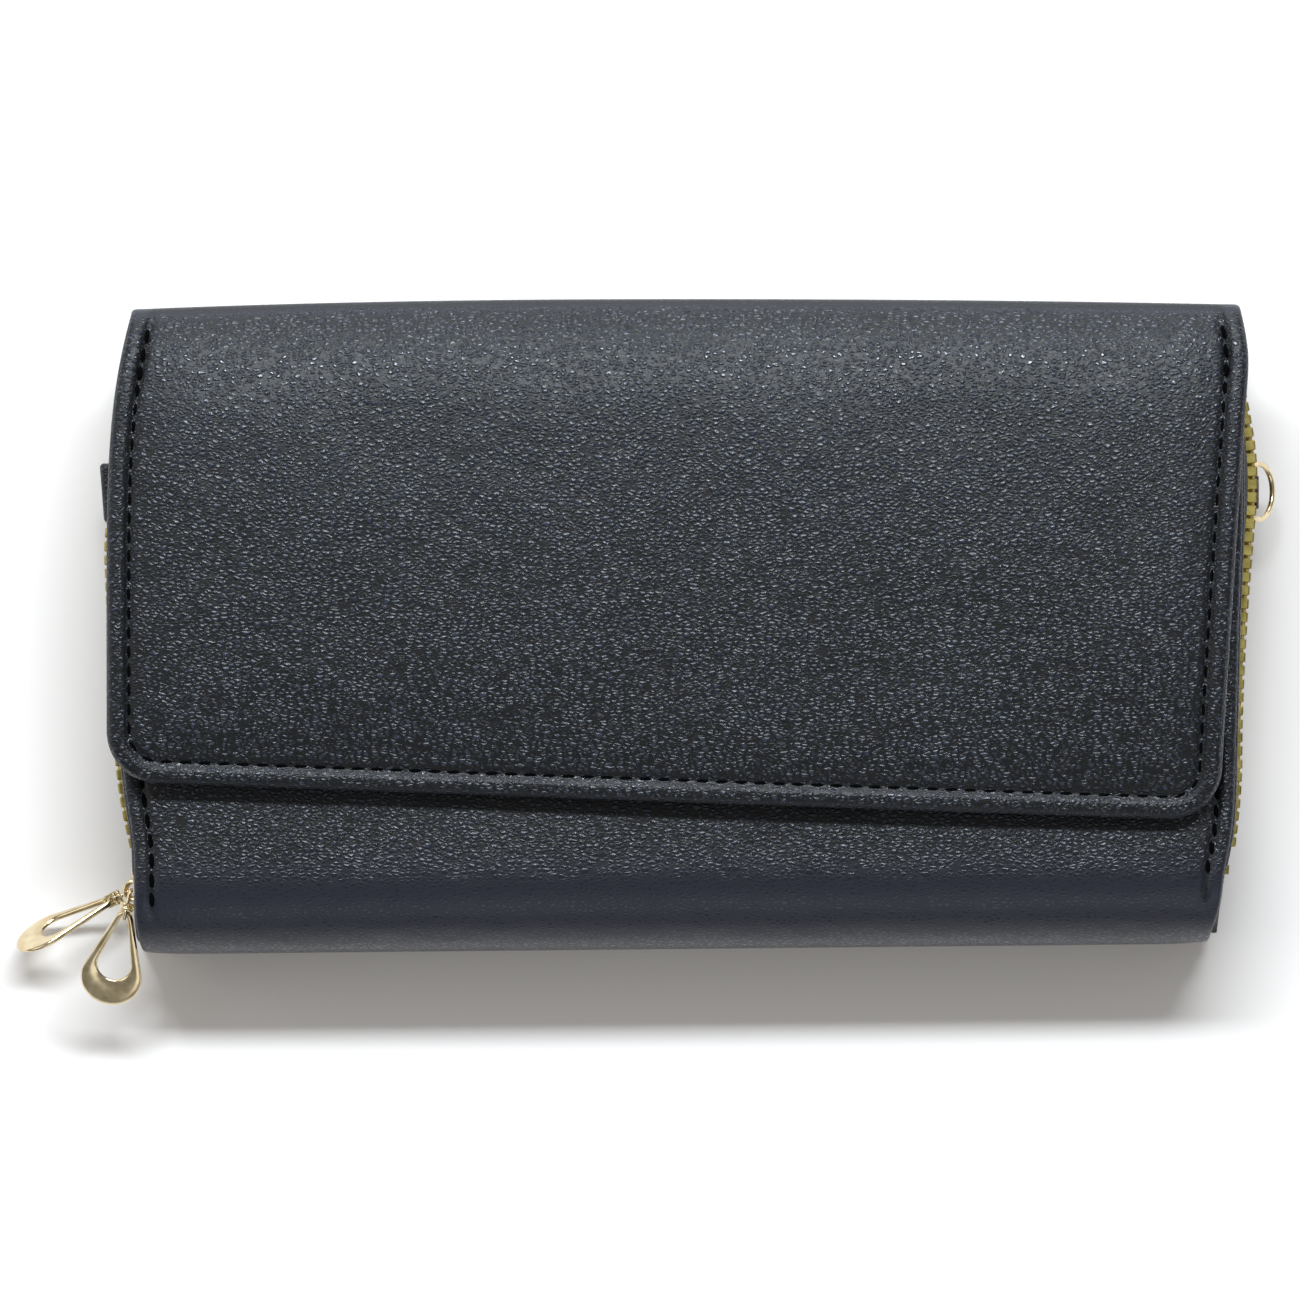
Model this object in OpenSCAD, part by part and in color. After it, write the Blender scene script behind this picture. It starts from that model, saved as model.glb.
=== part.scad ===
// Zip around wallet: three leather leaves hinged along the bottom fold, closed by
// two metal zips that run up the left side, across the top and down the right side,
// with a stitched flap over an outer pocket. Millimetres. The wallet lies on its back:
// +X to the right, +Y to the rolled top edge, +Z out of the flap.

/* [Leaves] */
// Half width of a leaf at the bottom fold
leaf_bottom_half = 94.5; // [75:0.5:115]
// Half width of a leaf at its widest
leaf_wide_half = 99.4; // [80:0.1:120]
// Half width of a leaf at the top
leaf_top_half = 97.5; // [78:0.1:118]
// Height of a leaf from the bottom fold to the top edge
leaf_h = 112.4; // [90:0.1:140]
// Height of the widest place above the bottom fold
wide_h = 79; // [50:1:85]
// Radius of a leaf's top corners
leaf_corner_r = 9; // [5:0.5:14]
// Thickness of the outer leather
cover_t = 1.6; // [1:0.1:2.4]
// Thickness of the fabric lining
lining_t = 0.8; // [0.5:0.1:1.2]
// Thickness of the middle leaf's stiffening board
board_t = 1; // [0.8:0.1:2]
// Thickness of the middle leaf's lining on each side
board_lining_t = 0.7; // [0.5:0.1:1.2]
// Wall thickness of the bottom fold
fold_t = 1.6; // [1:0.1:2.4]

/* [Compartments] */
// Clear depth of the rear compartment
rear_gap = 14; // [11:0.5:24]
// Clear depth of the front compartment
front_gap = 11; // [10.5:0.5:24]

/* [Zips] */
// Half width of the zip line at the bottom fold, on the left
zip_bottom_left = 92.5; // [73:0.5:112]
// Half width of the zip line at the bottom fold, on the right
zip_bottom_right = 95; // [75:0.5:114]
// How far the zip line stands outside the leaf at its widest
zip_bulge = 0.6; // [0:0.1:1.2]
// Thickness of the zip tape
tape_t = 0.7; // [0.5:0.1:1]
// Distance from the zip line in to the tape
tape_inset = 0.8; // [0.5:0.1:1.5]
// Distance between the teeth of one row
tooth_pitch = 2.35; // [2:0.05:3]
// Length of a tooth along the zip
tooth_l = 1.5; // [1:0.1:1.8]
// Height of a tooth across the zip
tooth_h = 2; // [1.5:0.1:2.2]
// How far a tooth stands outside the zip line
tooth_proud = 0.9; // [0.5:0.1:1.2]
// Gap between the two rows, for the slider's web
row_gap = 1.2; // [1:0.1:1.6]
// Height of the zip's start above the bottom fold
zip_start_h = 17; // [15:0.5:24]
// Height of the slider's middle above the bottom fold, zip closed
slider_park_h = 10.5; // [9.5:0.5:11]

/* [Slider and pull] */
// Length of a slider
slider_l = 9; // [7:0.5:10]
// Height of a slider across the zip
slider_h = 7.2; // [6:0.1:8]
// Thickness of a slider's plates
slider_t = 0.9; // [0.7:0.1:1.2]
// Clearance between the slider and what it runs on
slide_gap = 0.3; // [0.2:0.05:0.5]
// Outer radius of the slider's crown
crown_r = 2; // [1.8:0.1:2.4]
// Wire thickness of the crown
crown_t = 0.8; // [0.6:0.1:0.9]
// Radius of the link's pin in the crown
link_pin_r = 0.4; // [0.3:0.05:0.45]
// Radius of the bar that carries the pull
pull_bar_r = 0.45; // [0.35:0.05:0.6]
// Length of the pull from its bar to its tip
pull_l = 17.7; // [14:0.1:26]
// Radius of the pull's wide end
pull_r = 5.4; // [4.5:0.1:6.5]
// Thickness of the pull
pull_t = 1; // [0.8:0.1:1.4]
// Width of the pull's rim at its narrow end
pull_rim = 0.9; // [0.7:0.1:1.2]
// Length of the solid part at the pull's wide end
pull_solid = 5.1; // [3:0.1:6]
// Radius of the wide end of the pull's hole
pull_hole_r = 3; // [2:0.1:3.6]
// Direction of the rear link, anticlockwise from +X
rear_link_dir = 206; // [200:1:215]
// Roll of the rear pull about its own length
rear_pull_roll = 66; // [0:1:75]
// Downward bend of the rear link
rear_link_bend = 6; // [0:1:10]
// Direction of the front link, anticlockwise from +X
front_link_dir = 257; // [235:1:260]
// Downward bend of the front link
front_link_bend = 28; // [0:1:30]

/* [Flap and pocket] */
// Half width of the flap at the top, on the left
flap_top_left = 97.5; // [78:0.5:118]
// Half width of the flap at the top, on the right
flap_top_right = 100; // [80:0.5:120]
// Half width of the flap at its lower edge, on the left
flap_low_left = 100; // [80:0.5:120]
// Half width of the flap at its lower edge, on the right
flap_low_right = 95.5; // [76:0.5:116]
// Length of the flap down the front at its left edge
flap_drop_left = 85.2; // [60:0.1:95]
// Length of the flap down the front at its right edge
flap_drop_right = 91; // [60:0.1:98]
// Radius of the flap's lower corners
flap_corner_r = 9; // [5:0.5:14]
// Thickness of the flap's outer leather
flap_cover_t = 1.2; // [0.8:0.1:2]
// Thickness of the flap's lining
flap_lining_t = 0.6; // [0.4:0.1:1]
// Distance from the flap's edge to its stitching
stitch_inset = 3.9; // [3:0.1:6]
// Distance between stitches
stitch_pitch = 3.35; // [2.5:0.05:5]
// Thickness of the pocket's leather
pocket_t = 1.2; // [0.8:0.1:1.8]
// Depth of the empty pocket behind it
pocket_gap = 1; // [0.6:0.1:3]
// Width of the pocket's sewn edge
welt_w = 4.5; // [3:0.5:8]
// Distance from the wallet's top down to the pocket's mouth
pocket_top_drop = 13; // [11:0.5:30]
// Radius of the magnetic snap
snap_r = 7; // [5:0.5:9]
// Thickness of each half of the snap
snap_t = 1; // [0.8:0.1:1.6]
// Gap between the closed halves of the snap
snap_gap = 0.2; // [0.1:0.05:0.4]

/* [Ring and tab] */
// Height of the ring and the side tab above the bottom fold
ring_h = 80.4; // [55:0.1:90]
// Radius of the ring's bow, to the middle of its wire
ring_r = 4.85; // [4.5:0.05:7]
// Radius of the ring's wire
ring_wire_r = 0.5; // [0.4:0.05:0.7]
// Length of the ring's straight legs
ring_leg = 2.8; // [2.6:0.1:6]
// Angle of the ring below level
ring_tilt = 60; // [45:1:70]
// Running clearance of the ring's bar in its loop
ring_gap = 0.15; // [0.1:0.05:0.3]
// Width of the ring's loop
loop_w = 6; // [4:0.5:7]
// Thickness of the loop's leather
loop_t = 0.65; // [0.5:0.05:0.7]

/* [Card slots] */
// Number of card slots in a column
card_rows = 4; // [2:1:5]
// Thickness of one card slot
card_t = 0.6; // [0.4:0.1:0.7]
// Width of a card slot
card_w = 88; // [86:0.5:90]
// Height of the tallest card slot
card_h = 62; // [50:1:75]
// Drop from one card slot to the next
card_step = 9; // [6:1:12]

/* [Hidden] */

$fn = 48;
arc_steps = 10;
hair = 0.01;
fold_clear = 0.1;
roll_clear = 0.2;
roll_end = 60;
tape_grip = 1.4;
web_l = 2.4;
web_h = row_gap - 0.4;
end_gap = 2;
leather = "#2c2f38";
cloth = "#24262b";
tape_black = "#17181b";
brass = "#a3924a";
gold = "#c9b68c";
steel = "#9a9ca0";
thread = "#101114";

// Heights of the layers, from the back face up
back_in_z = cover_t + lining_t;
middle_z = back_in_z + rear_gap;
board_z = middle_z + board_lining_t;
middle_top_z = board_z + board_t + board_lining_t;
front_z = middle_top_z + front_gap;
front_cover_z = front_z + lining_t;
front_top_z = front_cover_z + cover_t;
pocket_z = front_top_z + pocket_gap;
pocket_top_z = pocket_z + pocket_t;
flap_z = pocket_top_z + 2 * snap_t + snap_gap;
flap_cover_z = flap_z + flap_lining_t;
flap_top_z = flap_cover_z + flap_cover_t;
rear_mid_z = back_in_z + rear_gap / 2;
front_mid_z = middle_top_z + front_gap / 2;

// Places along Y
roll_r = (flap_top_z - front_top_z - roll_clear) / 2;
low_y = -(leaf_h + 1.5) / 2;
leaf_top_y = low_y + leaf_h;
top_y = leaf_top_y + 1.5;
wide_y = low_y + wide_h;
fold_in_y = low_y + fold_t;
roll_y = top_y - roll_r;
roll_z = flap_top_z - roll_r;
ring_y = low_y + ring_h;
pocket_top_y = top_y - pocket_top_drop;

// The zip line
zip_wide_half = leaf_wide_half + zip_bulge;
zip_lean = atan((zip_wide_half - zip_bottom_left) / wide_h);
slider_y = low_y + slider_park_h;
slider_x = -line_x(slider_y, zip_bottom_left, zip_wide_half);

// The ring's bar stands clear of the leaf's edge
loop_r = ring_wire_r + ring_gap + loop_t;
ring_x = leaf_wide_half + loop_r + 0.2;
ring_z = board_z + board_t / 2;

// Half width at height y of a side line that runs from the bottom fold to the widest place
function line_x(y, low_half, wide_half) =
  low_half + (wide_half - low_half) * (y - low_y) / wide_h;

// Outline of a leaf or of the zip line, moved in by inset, from height y0 up
function outline(left_low, right_low, wide_half, top_half, inset, y0) = concat(
  [[-line_x(y0, left_low, wide_half) + inset, y0],
   [line_x(y0, right_low, wide_half) - inset, y0],
   [wide_half - inset, wide_y]],
  [for (i = [0:arc_steps]) let (a = 90 * i / arc_steps)
    [top_half - leaf_corner_r + (leaf_corner_r - inset) * cos(a),
     leaf_top_y - leaf_corner_r + (leaf_corner_r - inset) * sin(a)]],
  [for (i = [arc_steps:-1:0]) let (a = 90 * i / arc_steps)
    [-top_half + leaf_corner_r - (leaf_corner_r - inset) * cos(a),
     leaf_top_y - leaf_corner_r + (leaf_corner_r - inset) * sin(a)]],
  [[-wide_half + inset, wide_y]]);

function leaf(inset = 0, y0 = low_y) =
  outline(leaf_bottom_half, leaf_bottom_half, leaf_wide_half, leaf_top_half, inset, y0);

function zip_line(inset, y0) =
  outline(zip_bottom_left, zip_bottom_right, zip_wide_half, leaf_top_half, inset, y0);

// The zip line as an open path from its left end over the top to its right end
function zip_path(inset, y0) = let (p = zip_line(inset, y0), n = len(p))
  [for (i = [0:n - 1]) p[(n - i) % n]];

// Distance along a path to each of its points
function distances(p) =
  [for (i = 0, s = 0; i < len(p); s = s + (i < len(p) - 1 ? norm(p[i + 1] - p[i]) : 0), i = i + 1) s];

module plate(points, z, t) {
  translate([0, 0, z]) linear_extrude(t) polygon(points);
}

// Puts its children at even steps along a path, with their +Y pointing forwards
module along(path, first, step, last) {
  d = distances(path);
  px = [for (i = [0:len(path) - 1]) [d[i], path[i].x]];
  py = [for (i = [0:len(path) - 1]) [d[i], path[i].y]];
  for (s = [first:step:d[len(d) - 1] - last]) {
    ahead = [lookup(s + 0.05, px) - lookup(s - 0.05, px), lookup(s + 0.05, py) - lookup(s - 0.05, py)];
    translate([lookup(s, px), lookup(s, py)]) rotate(atan2(ahead.y, ahead.x) - 90) children();
  }
}

// One half of a zip's tape: a thin wall that follows the zip line
module tape(z, h) {
  translate([0, 0, z]) linear_extrude(h) difference() {
    polygon(zip_line(tape_inset, fold_in_y));
    polygon(zip_line(tape_inset + tape_t, fold_in_y - 1));
  }
}

// One row of teeth, standing on the outside of its tape's edge
module teeth(z, first) {
  depth = tooth_proud + tape_inset;
  translate([0, 0, z]) along(zip_path(0, low_y + zip_start_h), first, tooth_pitch, tooth_l)
    translate([-tooth_proud, -tooth_l / 2, 0]) cube([depth, tooth_l, tooth_h]);
}

module tape_lower(from_z, mid_z) {
  tape(from_z, mid_z - row_gap / 2 - tape_grip - from_z);
}

module tape_upper(mid_z, to_z) {
  start = mid_z + row_gap / 2 + tape_grip;
  tape(start, to_z - start);
}

// Metal stops: one below the parked slider and one past the last tooth
module zip_stops(mid_z) {
  z = mid_z - row_gap / 2 - tooth_h;
  stop_l = 1.6;
  left_y = low_y + 3.2;
  right_y = low_y + zip_start_h - end_gap - 1;
  left_x = line_x(left_y, zip_bottom_left, zip_wide_half);
  right_x = line_x(right_y, zip_bottom_right, zip_wide_half);
  right_lean = atan((zip_wide_half - zip_bottom_right) / wide_h);
  translate([-left_x, left_y, z]) rotate(zip_lean)
    translate([-tooth_proud, -stop_l / 2, 0]) cube([tooth_proud + tape_inset, stop_l, tooth_h]);
  translate([right_x, right_y, z]) rotate(-right_lean)
    translate([-tape_inset, -stop_l / 2, 0]) cube([tooth_proud + tape_inset, stop_l, tooth_h]);
}

// A wall of the bottom fold
module fold_wall(z, top) {
  translate([-zip_bottom_left, low_y, z])
    cube([zip_bottom_left + zip_bottom_right, fold_t, top - z]);
}

// Two columns of stepped card slots, growing up from z
module card_slots(z) {
  base_y = fold_in_y + 8;
  for (side = [-1, 1])
    for (i = [0:card_rows - 1])
      translate([side * (card_w / 2 + 1) - card_w / 2, base_y, z + i * card_t])
        cube([card_w, card_h - i * card_step, card_t]);
}

// ---- back leaf ----
module back_cover() {
  color(leather) plate(leaf(), 0, cover_t);
}

module back_lining() {
  color(cloth) plate(leaf(1.2, fold_in_y), cover_t, lining_t);
}

module back_fold() {
  color(leather) fold_wall(cover_t, rear_mid_z - fold_clear);
}

module rear_card_slots() {
  color(cloth) card_slots(back_in_z);
}

module rear_tape_lower() {
  color(tape_black) tape_lower(back_in_z, rear_mid_z);
}

module rear_teeth_lower() {
  color(brass) teeth(rear_mid_z - row_gap / 2 - tooth_h, tooth_pitch / 2);
}

module rear_zip_stops() {
  color(brass) zip_stops(rear_mid_z);
}

// ---- middle leaf ----
module ring_strap() {
  translate([leaf_wide_half - 8, ring_y - loop_w / 2, board_z])
    cube([ring_x - leaf_wide_half + 8, loop_w, board_t]);
}

module tab_strap() {
  tab_h = 11;
  tab_root = 6;
  tab_out = 2.3;
  tab_out_low = 1.5;
  translate([0, 0, board_z]) linear_extrude(board_t) polygon([
    [-leaf_wide_half + tab_root, ring_y + tab_h / 2], [-leaf_wide_half - tab_out, ring_y + tab_h / 2],
    [-leaf_wide_half - tab_out_low, ring_y - tab_h / 2], [-leaf_wide_half + tab_root, ring_y - tab_h / 2]]);
}

module middle_board() {
  color(cloth) difference() {
    plate(leaf(0.4), board_z, board_t);
    ring_strap();
    tab_strap();
  }
}

module middle_lining_rear() {
  color(cloth) plate(leaf(), middle_z, board_lining_t);
}

module middle_lining_front() {
  color(cloth) plate(leaf(), board_z + board_t, board_lining_t);
}

module middle_fold_rear() {
  color(leather) fold_wall(rear_mid_z + fold_clear, middle_z);
}

module middle_fold_front() {
  color(leather) fold_wall(middle_top_z, front_mid_z - fold_clear);
}

module rear_tape_upper() {
  color(tape_black) tape_upper(rear_mid_z, middle_z);
}

module rear_teeth_upper() {
  color(brass) teeth(rear_mid_z + row_gap / 2, tooth_pitch);
}

module front_tape_lower() {
  color(tape_black) tape_lower(middle_top_z, front_mid_z);
}

module front_teeth_lower() {
  color(brass) teeth(front_mid_z - row_gap / 2 - tooth_h, tooth_pitch / 2);
}

module front_zip_stops() {
  color(brass) zip_stops(front_mid_z);
}

module ring_loop() {
  color(leather) difference() {
    union() {
      ring_strap();
      translate([ring_x, ring_y + loop_w / 2, ring_z]) rotate([90, 0, 0]) cylinder(r = loop_r, h = loop_w);
    }
    translate([ring_x, ring_y + loop_w, ring_z]) rotate([90, 0, 0])
      cylinder(r = ring_wire_r + ring_gap, h = 2 * loop_w);
  }
}

module side_tab() {
  color(leather) tab_strap();
}

// ---- front leaf ----
module front_cover() {
  color(leather) plate(leaf(), front_cover_z, cover_t);
}

module front_lining() {
  color(cloth) plate(leaf(1.2, fold_in_y), front_z, lining_t);
}

module front_fold() {
  color(leather) fold_wall(front_mid_z + fold_clear, front_cover_z);
}

// These slots hang from the front lining, so their mouths face the middle leaf
module front_card_slots() {
  color(cloth) translate([0, 0, front_z]) mirror([0, 0, 1]) card_slots(0);
}

module front_tape_upper() {
  color(tape_black) tape_upper(front_mid_z, front_z);
}

module front_teeth_upper() {
  color(brass) teeth(front_mid_z + row_gap / 2, tooth_pitch);
}

// Half outline of the pocket: the leaf's own sides up to the pocket's mouth
function pocket(inset, y0, y1) = let (
    low = line_x(y0, leaf_bottom_half, leaf_wide_half) - inset,
    up = leaf_top_half + (leaf_wide_half - leaf_top_half) * 0.5 - inset,
    wide = leaf_wide_half - inset)
  [[-low, y0], [low, y0], [wide, wide_y], [up, y1], [-up, y1], [-wide, wide_y]];

module pocket_panel() {
  color(leather) plate(pocket(0.6, low_y, pocket_top_y), pocket_z, pocket_t);
}

module pocket_welt() {
  color(leather) translate([0, 0, front_top_z]) linear_extrude(pocket_gap) difference() {
    polygon(pocket(0.6, low_y, pocket_top_y));
    polygon(pocket(0.6 + welt_w, low_y + welt_w, pocket_top_y + 1));
  }
}

// A single sewn stitch lying along +Y
module stitch() {
  stitch_l = 2.4;
  stitch_w = 0.6;
  stitch_h = 0.3;
  translate([-stitch_w / 2, -stitch_l / 2, 0]) cube([stitch_w, stitch_l, stitch_h]);
}

module pocket_stitching() {
  low_stitch_y = low_y + 10;
  reach = pocket_top_y - low_stitch_y - stitch_pitch;
  color(thread) for (side = [-1, 1])
    for (s = [0:stitch_pitch:reach]) {
      y = low_stitch_y + s;
      x = min(line_x(y, leaf_bottom_half, leaf_wide_half), leaf_wide_half - (y - wide_y) * 0.06);
      translate([side * (x - stitch_inset), y, pocket_top_z]) stitch();
    }
}

snap_y = roll_y - min(flap_drop_left, flap_drop_right) + stitch_inset + snap_r + 2;

module pocket_snap() {
  color(steel) translate([0, snap_y, pocket_top_z]) cylinder(r = snap_r, h = snap_t);
}

// ---- flap ----
function flap(inset) = let (
    r = flap_corner_r, top = roll_y,
    left_y = top_y - flap_drop_left, right_y = top_y - flap_drop_right)
  concat([[flap_top_right - inset, top], [-flap_top_left + inset, top]],
    [for (i = [0:arc_steps]) let (a = 180 + 88 * i / arc_steps)
      [-flap_low_left + r + (r - inset) * cos(a), left_y + r + (r - inset) * sin(a)]],
    [for (i = [0:arc_steps]) let (a = 270 + 88 * i / arc_steps)
      [flap_low_right - r + (r - inset) * cos(a), right_y + r + (r - inset) * sin(a)]]);

module flap_cover() {
  color(leather) plate(flap(0), flap_cover_z, flap_cover_t);
}

module flap_lining() {
  color(cloth) plate(flap(0.8), flap_z, flap_lining_t);
}

// The rolled top of the flap, centred on the line that the flap turns about
module flap_roll() {
  wall = flap_cover_t + flap_lining_t;
  color(leather) translate([-flap_top_left, roll_y, roll_z]) rotate([90, 0, 90])
    rotate(-roll_end) rotate_extrude(angle = 90 + roll_end)
      translate([roll_r - wall, 0]) square([wall, flap_top_left + flap_top_right]);
}

module flap_stitching() {
  full = flap(stitch_inset);
  path = [for (i = [1:len(full)]) full[i % len(full)]];
  color(thread) translate([0, 0, flap_top_z])
    along(path, stitch_pitch, stitch_pitch, stitch_pitch) stitch();
}

module flap_snap() {
  color(steel) translate([0, snap_y, flap_z - snap_t]) cylinder(r = snap_r, h = snap_t);
}

// ---- sliders, links and pulls ----
plate_out = tooth_proud + slide_gap + slider_t;
plate_in = tape_inset + tape_t + slide_gap;
pin_gap = 0.15;
pin_out = plate_out + link_pin_r + pin_gap;
block_from = crown_r + 0.3;
block_l = 0.7;
bar_at = 2.1;
cheek_t = 0.6;
crown_h = 1.4;
cheek_gap = 0.25;

// Puts its children on the parked slider: +Y up the zip, -X outwards
module at_slider(mid_z) {
  translate([slider_x, slider_y, mid_z]) rotate(zip_lean) children();
}

// Two plates joined by a thin web that runs between the rows, with a round crown outside
module slider(mid_z) {
  color(gold) at_slider(mid_z) {
    translate([-plate_out, -slider_l / 2, -slider_h / 2]) cube([slider_t, slider_l, slider_h]);
    translate([plate_in, -slider_l / 2, -slider_h / 2]) cube([slider_t, slider_l, slider_h]);
    translate([-plate_out + slider_t / 2, -slider_l / 2, -web_h / 2])
      cube([plate_out + plate_in, web_l, web_h]);
    translate([-plate_out, 0, -crown_h / 2]) intersection() {
      difference() {
        cylinder(r = crown_r, h = crown_h);
        translate([0, 0, -1]) cylinder(r = crown_r - crown_t, h = crown_h + 2);
      }
      translate([-2 * crown_r, -2 * crown_r, -1]) cube([2 * crown_r + hair, 4 * crown_r, crown_h + 2]);
    }
  }
}

// Where a link's own +X points from its pin in the crown
module at_link(mid_z, dir) {
  at_slider(mid_z) translate([-pin_out, 0, 0]) rotate(dir - zip_lean) children();
}

// Where a pull's own +X points from its bar
module at_pull(mid_z, dir, bend, roll) {
  at_link(mid_z, dir) translate([block_from + block_l, 0, 0]) rotate([0, bend, 0]) rotate([roll, 0, 0])
    translate([bar_at, 0, 0]) children();
}

// A fork of two cheeks and a cross pin, from x = 0 back to the pin at -reach
module fork(reach, pin_r, gap_h) {
  cheek_r = pin_r + pin_gap / 2;
  for (side = [-1, 1])
    translate([-reach, 0, side > 0 ? gap_h : -gap_h - cheek_t]) {
      translate([0, -cheek_r, 0]) cube([reach + hair, 2 * cheek_r, cheek_t]);
      cylinder(r = cheek_r, h = cheek_t);
    }
  translate([-reach, 0, -gap_h - cheek_t / 2]) cylinder(r = pin_r, h = 2 * gap_h + cheek_t);
}

module link(mid_z, dir, bend, roll) {
  inner_gap = crown_h / 2 + cheek_gap;
  outer_gap = pull_t / 2 + 0.12;
  block_h = 2 * (inner_gap + cheek_t);
  block_w = 1.7;
  ridge = 0.2;
  color(gold) {
    at_link(mid_z, dir) {
      translate([block_from, 0, 0]) fork(block_from, link_pin_r, inner_gap);
      translate([block_from, -block_w / 2, -block_h / 2]) cube([block_l, block_w, block_h]);
      translate([block_from + ridge, -block_w / 2 - ridge, -block_h / 2 - ridge])
        cube([block_l - 2 * ridge, block_w + 2 * ridge, block_h + 2 * ridge]);
    }
    at_pull(mid_z, dir, bend, roll) mirror([1, 0, 0])
      translate([bar_at, 0, 0]) fork(bar_at, pull_bar_r, outer_gap);
  }
}

// Outline round a small circle at the origin and a large one at x = d
function teardrop(small_r, large_r, d) = let (t = 90 + asin((large_r - small_r) / d), n = 20)
  concat([for (i = [0:n]) let (a = -t + 2 * t * i / n) [d + large_r * cos(a), large_r * sin(a)]],
    [for (i = [0:n]) let (a = t + (360 - 2 * t) * i / n) [small_r * cos(a), small_r * sin(a)]]);

module pull(mid_z, dir, bend, roll) {
  eye_r = pull_bar_r + 0.1;
  color(gold) at_pull(mid_z, dir, bend, roll) translate([0, 0, -pull_t / 2]) linear_extrude(pull_t)
    difference() {
      polygon(teardrop(eye_r + pull_rim, pull_r, pull_l - pull_r));
      polygon(teardrop(eye_r, pull_hole_r, pull_l - pull_solid - pull_hole_r));
    }
}

module rear_slider() {
  slider(rear_mid_z);
}

module rear_link() {
  link(rear_mid_z, rear_link_dir, rear_link_bend, rear_pull_roll);
}

module rear_pull() {
  pull(rear_mid_z, rear_link_dir, rear_link_bend, rear_pull_roll);
}

module front_slider() {
  slider(front_mid_z);
}

module front_link() {
  link(front_mid_z, front_link_dir, front_link_bend, 0);
}

module front_pull() {
  pull(front_mid_z, front_link_dir, front_link_bend, 0);
}

// ---- ring ----
module d_ring() {
  color(gold) translate([ring_x, ring_y, ring_z]) rotate([0, ring_tilt, 0]) {
    translate([0, ring_r + ring_wire_r, 0]) rotate([90, 0, 0])
      cylinder(r = ring_wire_r, h = 2 * (ring_r + ring_wire_r));
    for (side = [-1, 1])
      translate([0, side * ring_r, 0]) rotate([0, 90, 0]) cylinder(r = ring_wire_r, h = ring_leg + hair);
    translate([ring_leg, 0, 0]) intersection() {
      rotate_extrude() translate([ring_r, 0]) circle(r = ring_wire_r);
      translate([0, -2 * ring_r, -ring_r]) cube([2 * ring_r, 4 * ring_r, 2 * ring_r]);
    }
  }
}

back_cover();
back_lining();
back_fold();
rear_card_slots();
rear_tape_lower();
rear_teeth_lower();
rear_zip_stops();
middle_board();
middle_lining_rear();
middle_lining_front();
middle_fold_rear();
middle_fold_front();
rear_tape_upper();
rear_teeth_upper();
front_tape_lower();
front_teeth_lower();
front_zip_stops();
ring_loop();
side_tab();
front_cover();
front_lining();
front_fold();
front_card_slots();
front_tape_upper();
front_teeth_upper();
pocket_panel();
pocket_welt();
pocket_stitching();
pocket_snap();
flap_cover();
flap_lining();
flap_roll();
flap_stitching();
flap_snap();
rear_slider();
rear_link();
rear_pull();
front_slider();
front_link();
front_pull();
d_ring();
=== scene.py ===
import bpy
import numpy as np
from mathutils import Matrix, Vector


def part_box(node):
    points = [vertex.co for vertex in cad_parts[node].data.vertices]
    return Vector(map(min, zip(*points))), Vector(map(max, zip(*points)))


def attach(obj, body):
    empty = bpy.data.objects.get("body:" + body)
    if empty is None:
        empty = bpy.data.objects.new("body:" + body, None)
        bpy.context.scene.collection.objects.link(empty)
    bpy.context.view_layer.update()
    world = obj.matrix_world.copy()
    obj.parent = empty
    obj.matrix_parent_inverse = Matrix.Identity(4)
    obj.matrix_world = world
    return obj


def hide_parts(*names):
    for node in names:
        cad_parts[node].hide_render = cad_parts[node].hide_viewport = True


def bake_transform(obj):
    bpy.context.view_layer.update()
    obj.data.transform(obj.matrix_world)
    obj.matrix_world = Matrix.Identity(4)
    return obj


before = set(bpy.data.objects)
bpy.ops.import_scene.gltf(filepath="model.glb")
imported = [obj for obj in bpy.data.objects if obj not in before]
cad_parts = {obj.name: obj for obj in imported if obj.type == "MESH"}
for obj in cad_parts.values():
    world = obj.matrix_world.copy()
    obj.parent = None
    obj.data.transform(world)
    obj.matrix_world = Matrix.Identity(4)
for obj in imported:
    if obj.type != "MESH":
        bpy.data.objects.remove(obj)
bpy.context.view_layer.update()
mm = 0.001
print("frame loaded:", len(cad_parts), "nodes")


def low(node):
    return np.array(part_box(node)[0]) / mm


def high(node):
    return np.array(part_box(node)[1]) / mm


# shared sizes, read off the frame in millimetres
wallet = {
    "foldY": low("back_cover")[1],
    "leafTopY": high("back_cover")[1],
    "cornerR": 9.0,
    "zipWide": 100.0,
    "zipLeft": 92.5,
    "zipStartY": -39.95,
    "backTop": high("back_cover")[2],
    "rearMid": (high("back_fold")[2] + low("middle_fold_rear")[2]) / 2,
    "frontMid": (high("middle_fold_front")[2] + low("front_fold")[2]) / 2,
    "middleLow": low("middle_lining_rear")[2],
    "middleTop": high("middle_lining_front")[2],
    "frontLow": low("front_lining")[2],
    "coverLow": low("front_cover")[2],
    "coverTop": high("front_cover")[2],
    "pocketTop": high("pocket_panel")[2],
    "pocketTopY": high("pocket_panel")[1],
    "flapTop": high("flap_cover")[2],
    "topY": high("flap_roll")[1],
}
wallet["seamZ"] = (wallet["rearMid"] + wallet["frontMid"]) / 2
rollCentre = np.array([wallet["topY"] - 3.0, wallet["flapTop"] - 3.0])


def bump(d, centre, width, power=2):
    # a smooth hump of height 1 at distance centre, falling to nothing past width
    return np.exp(-np.abs((d - centre) / width) ** power)


def ease(x):
    # 0 below 0, 1 above 1, and a smooth S between
    x = np.clip(x, 0, 1)
    return x * x * (3 - 2 * x)


def level(value):
    # an edge that stays at one value
    return lambda v: value + 0 * v


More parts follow.
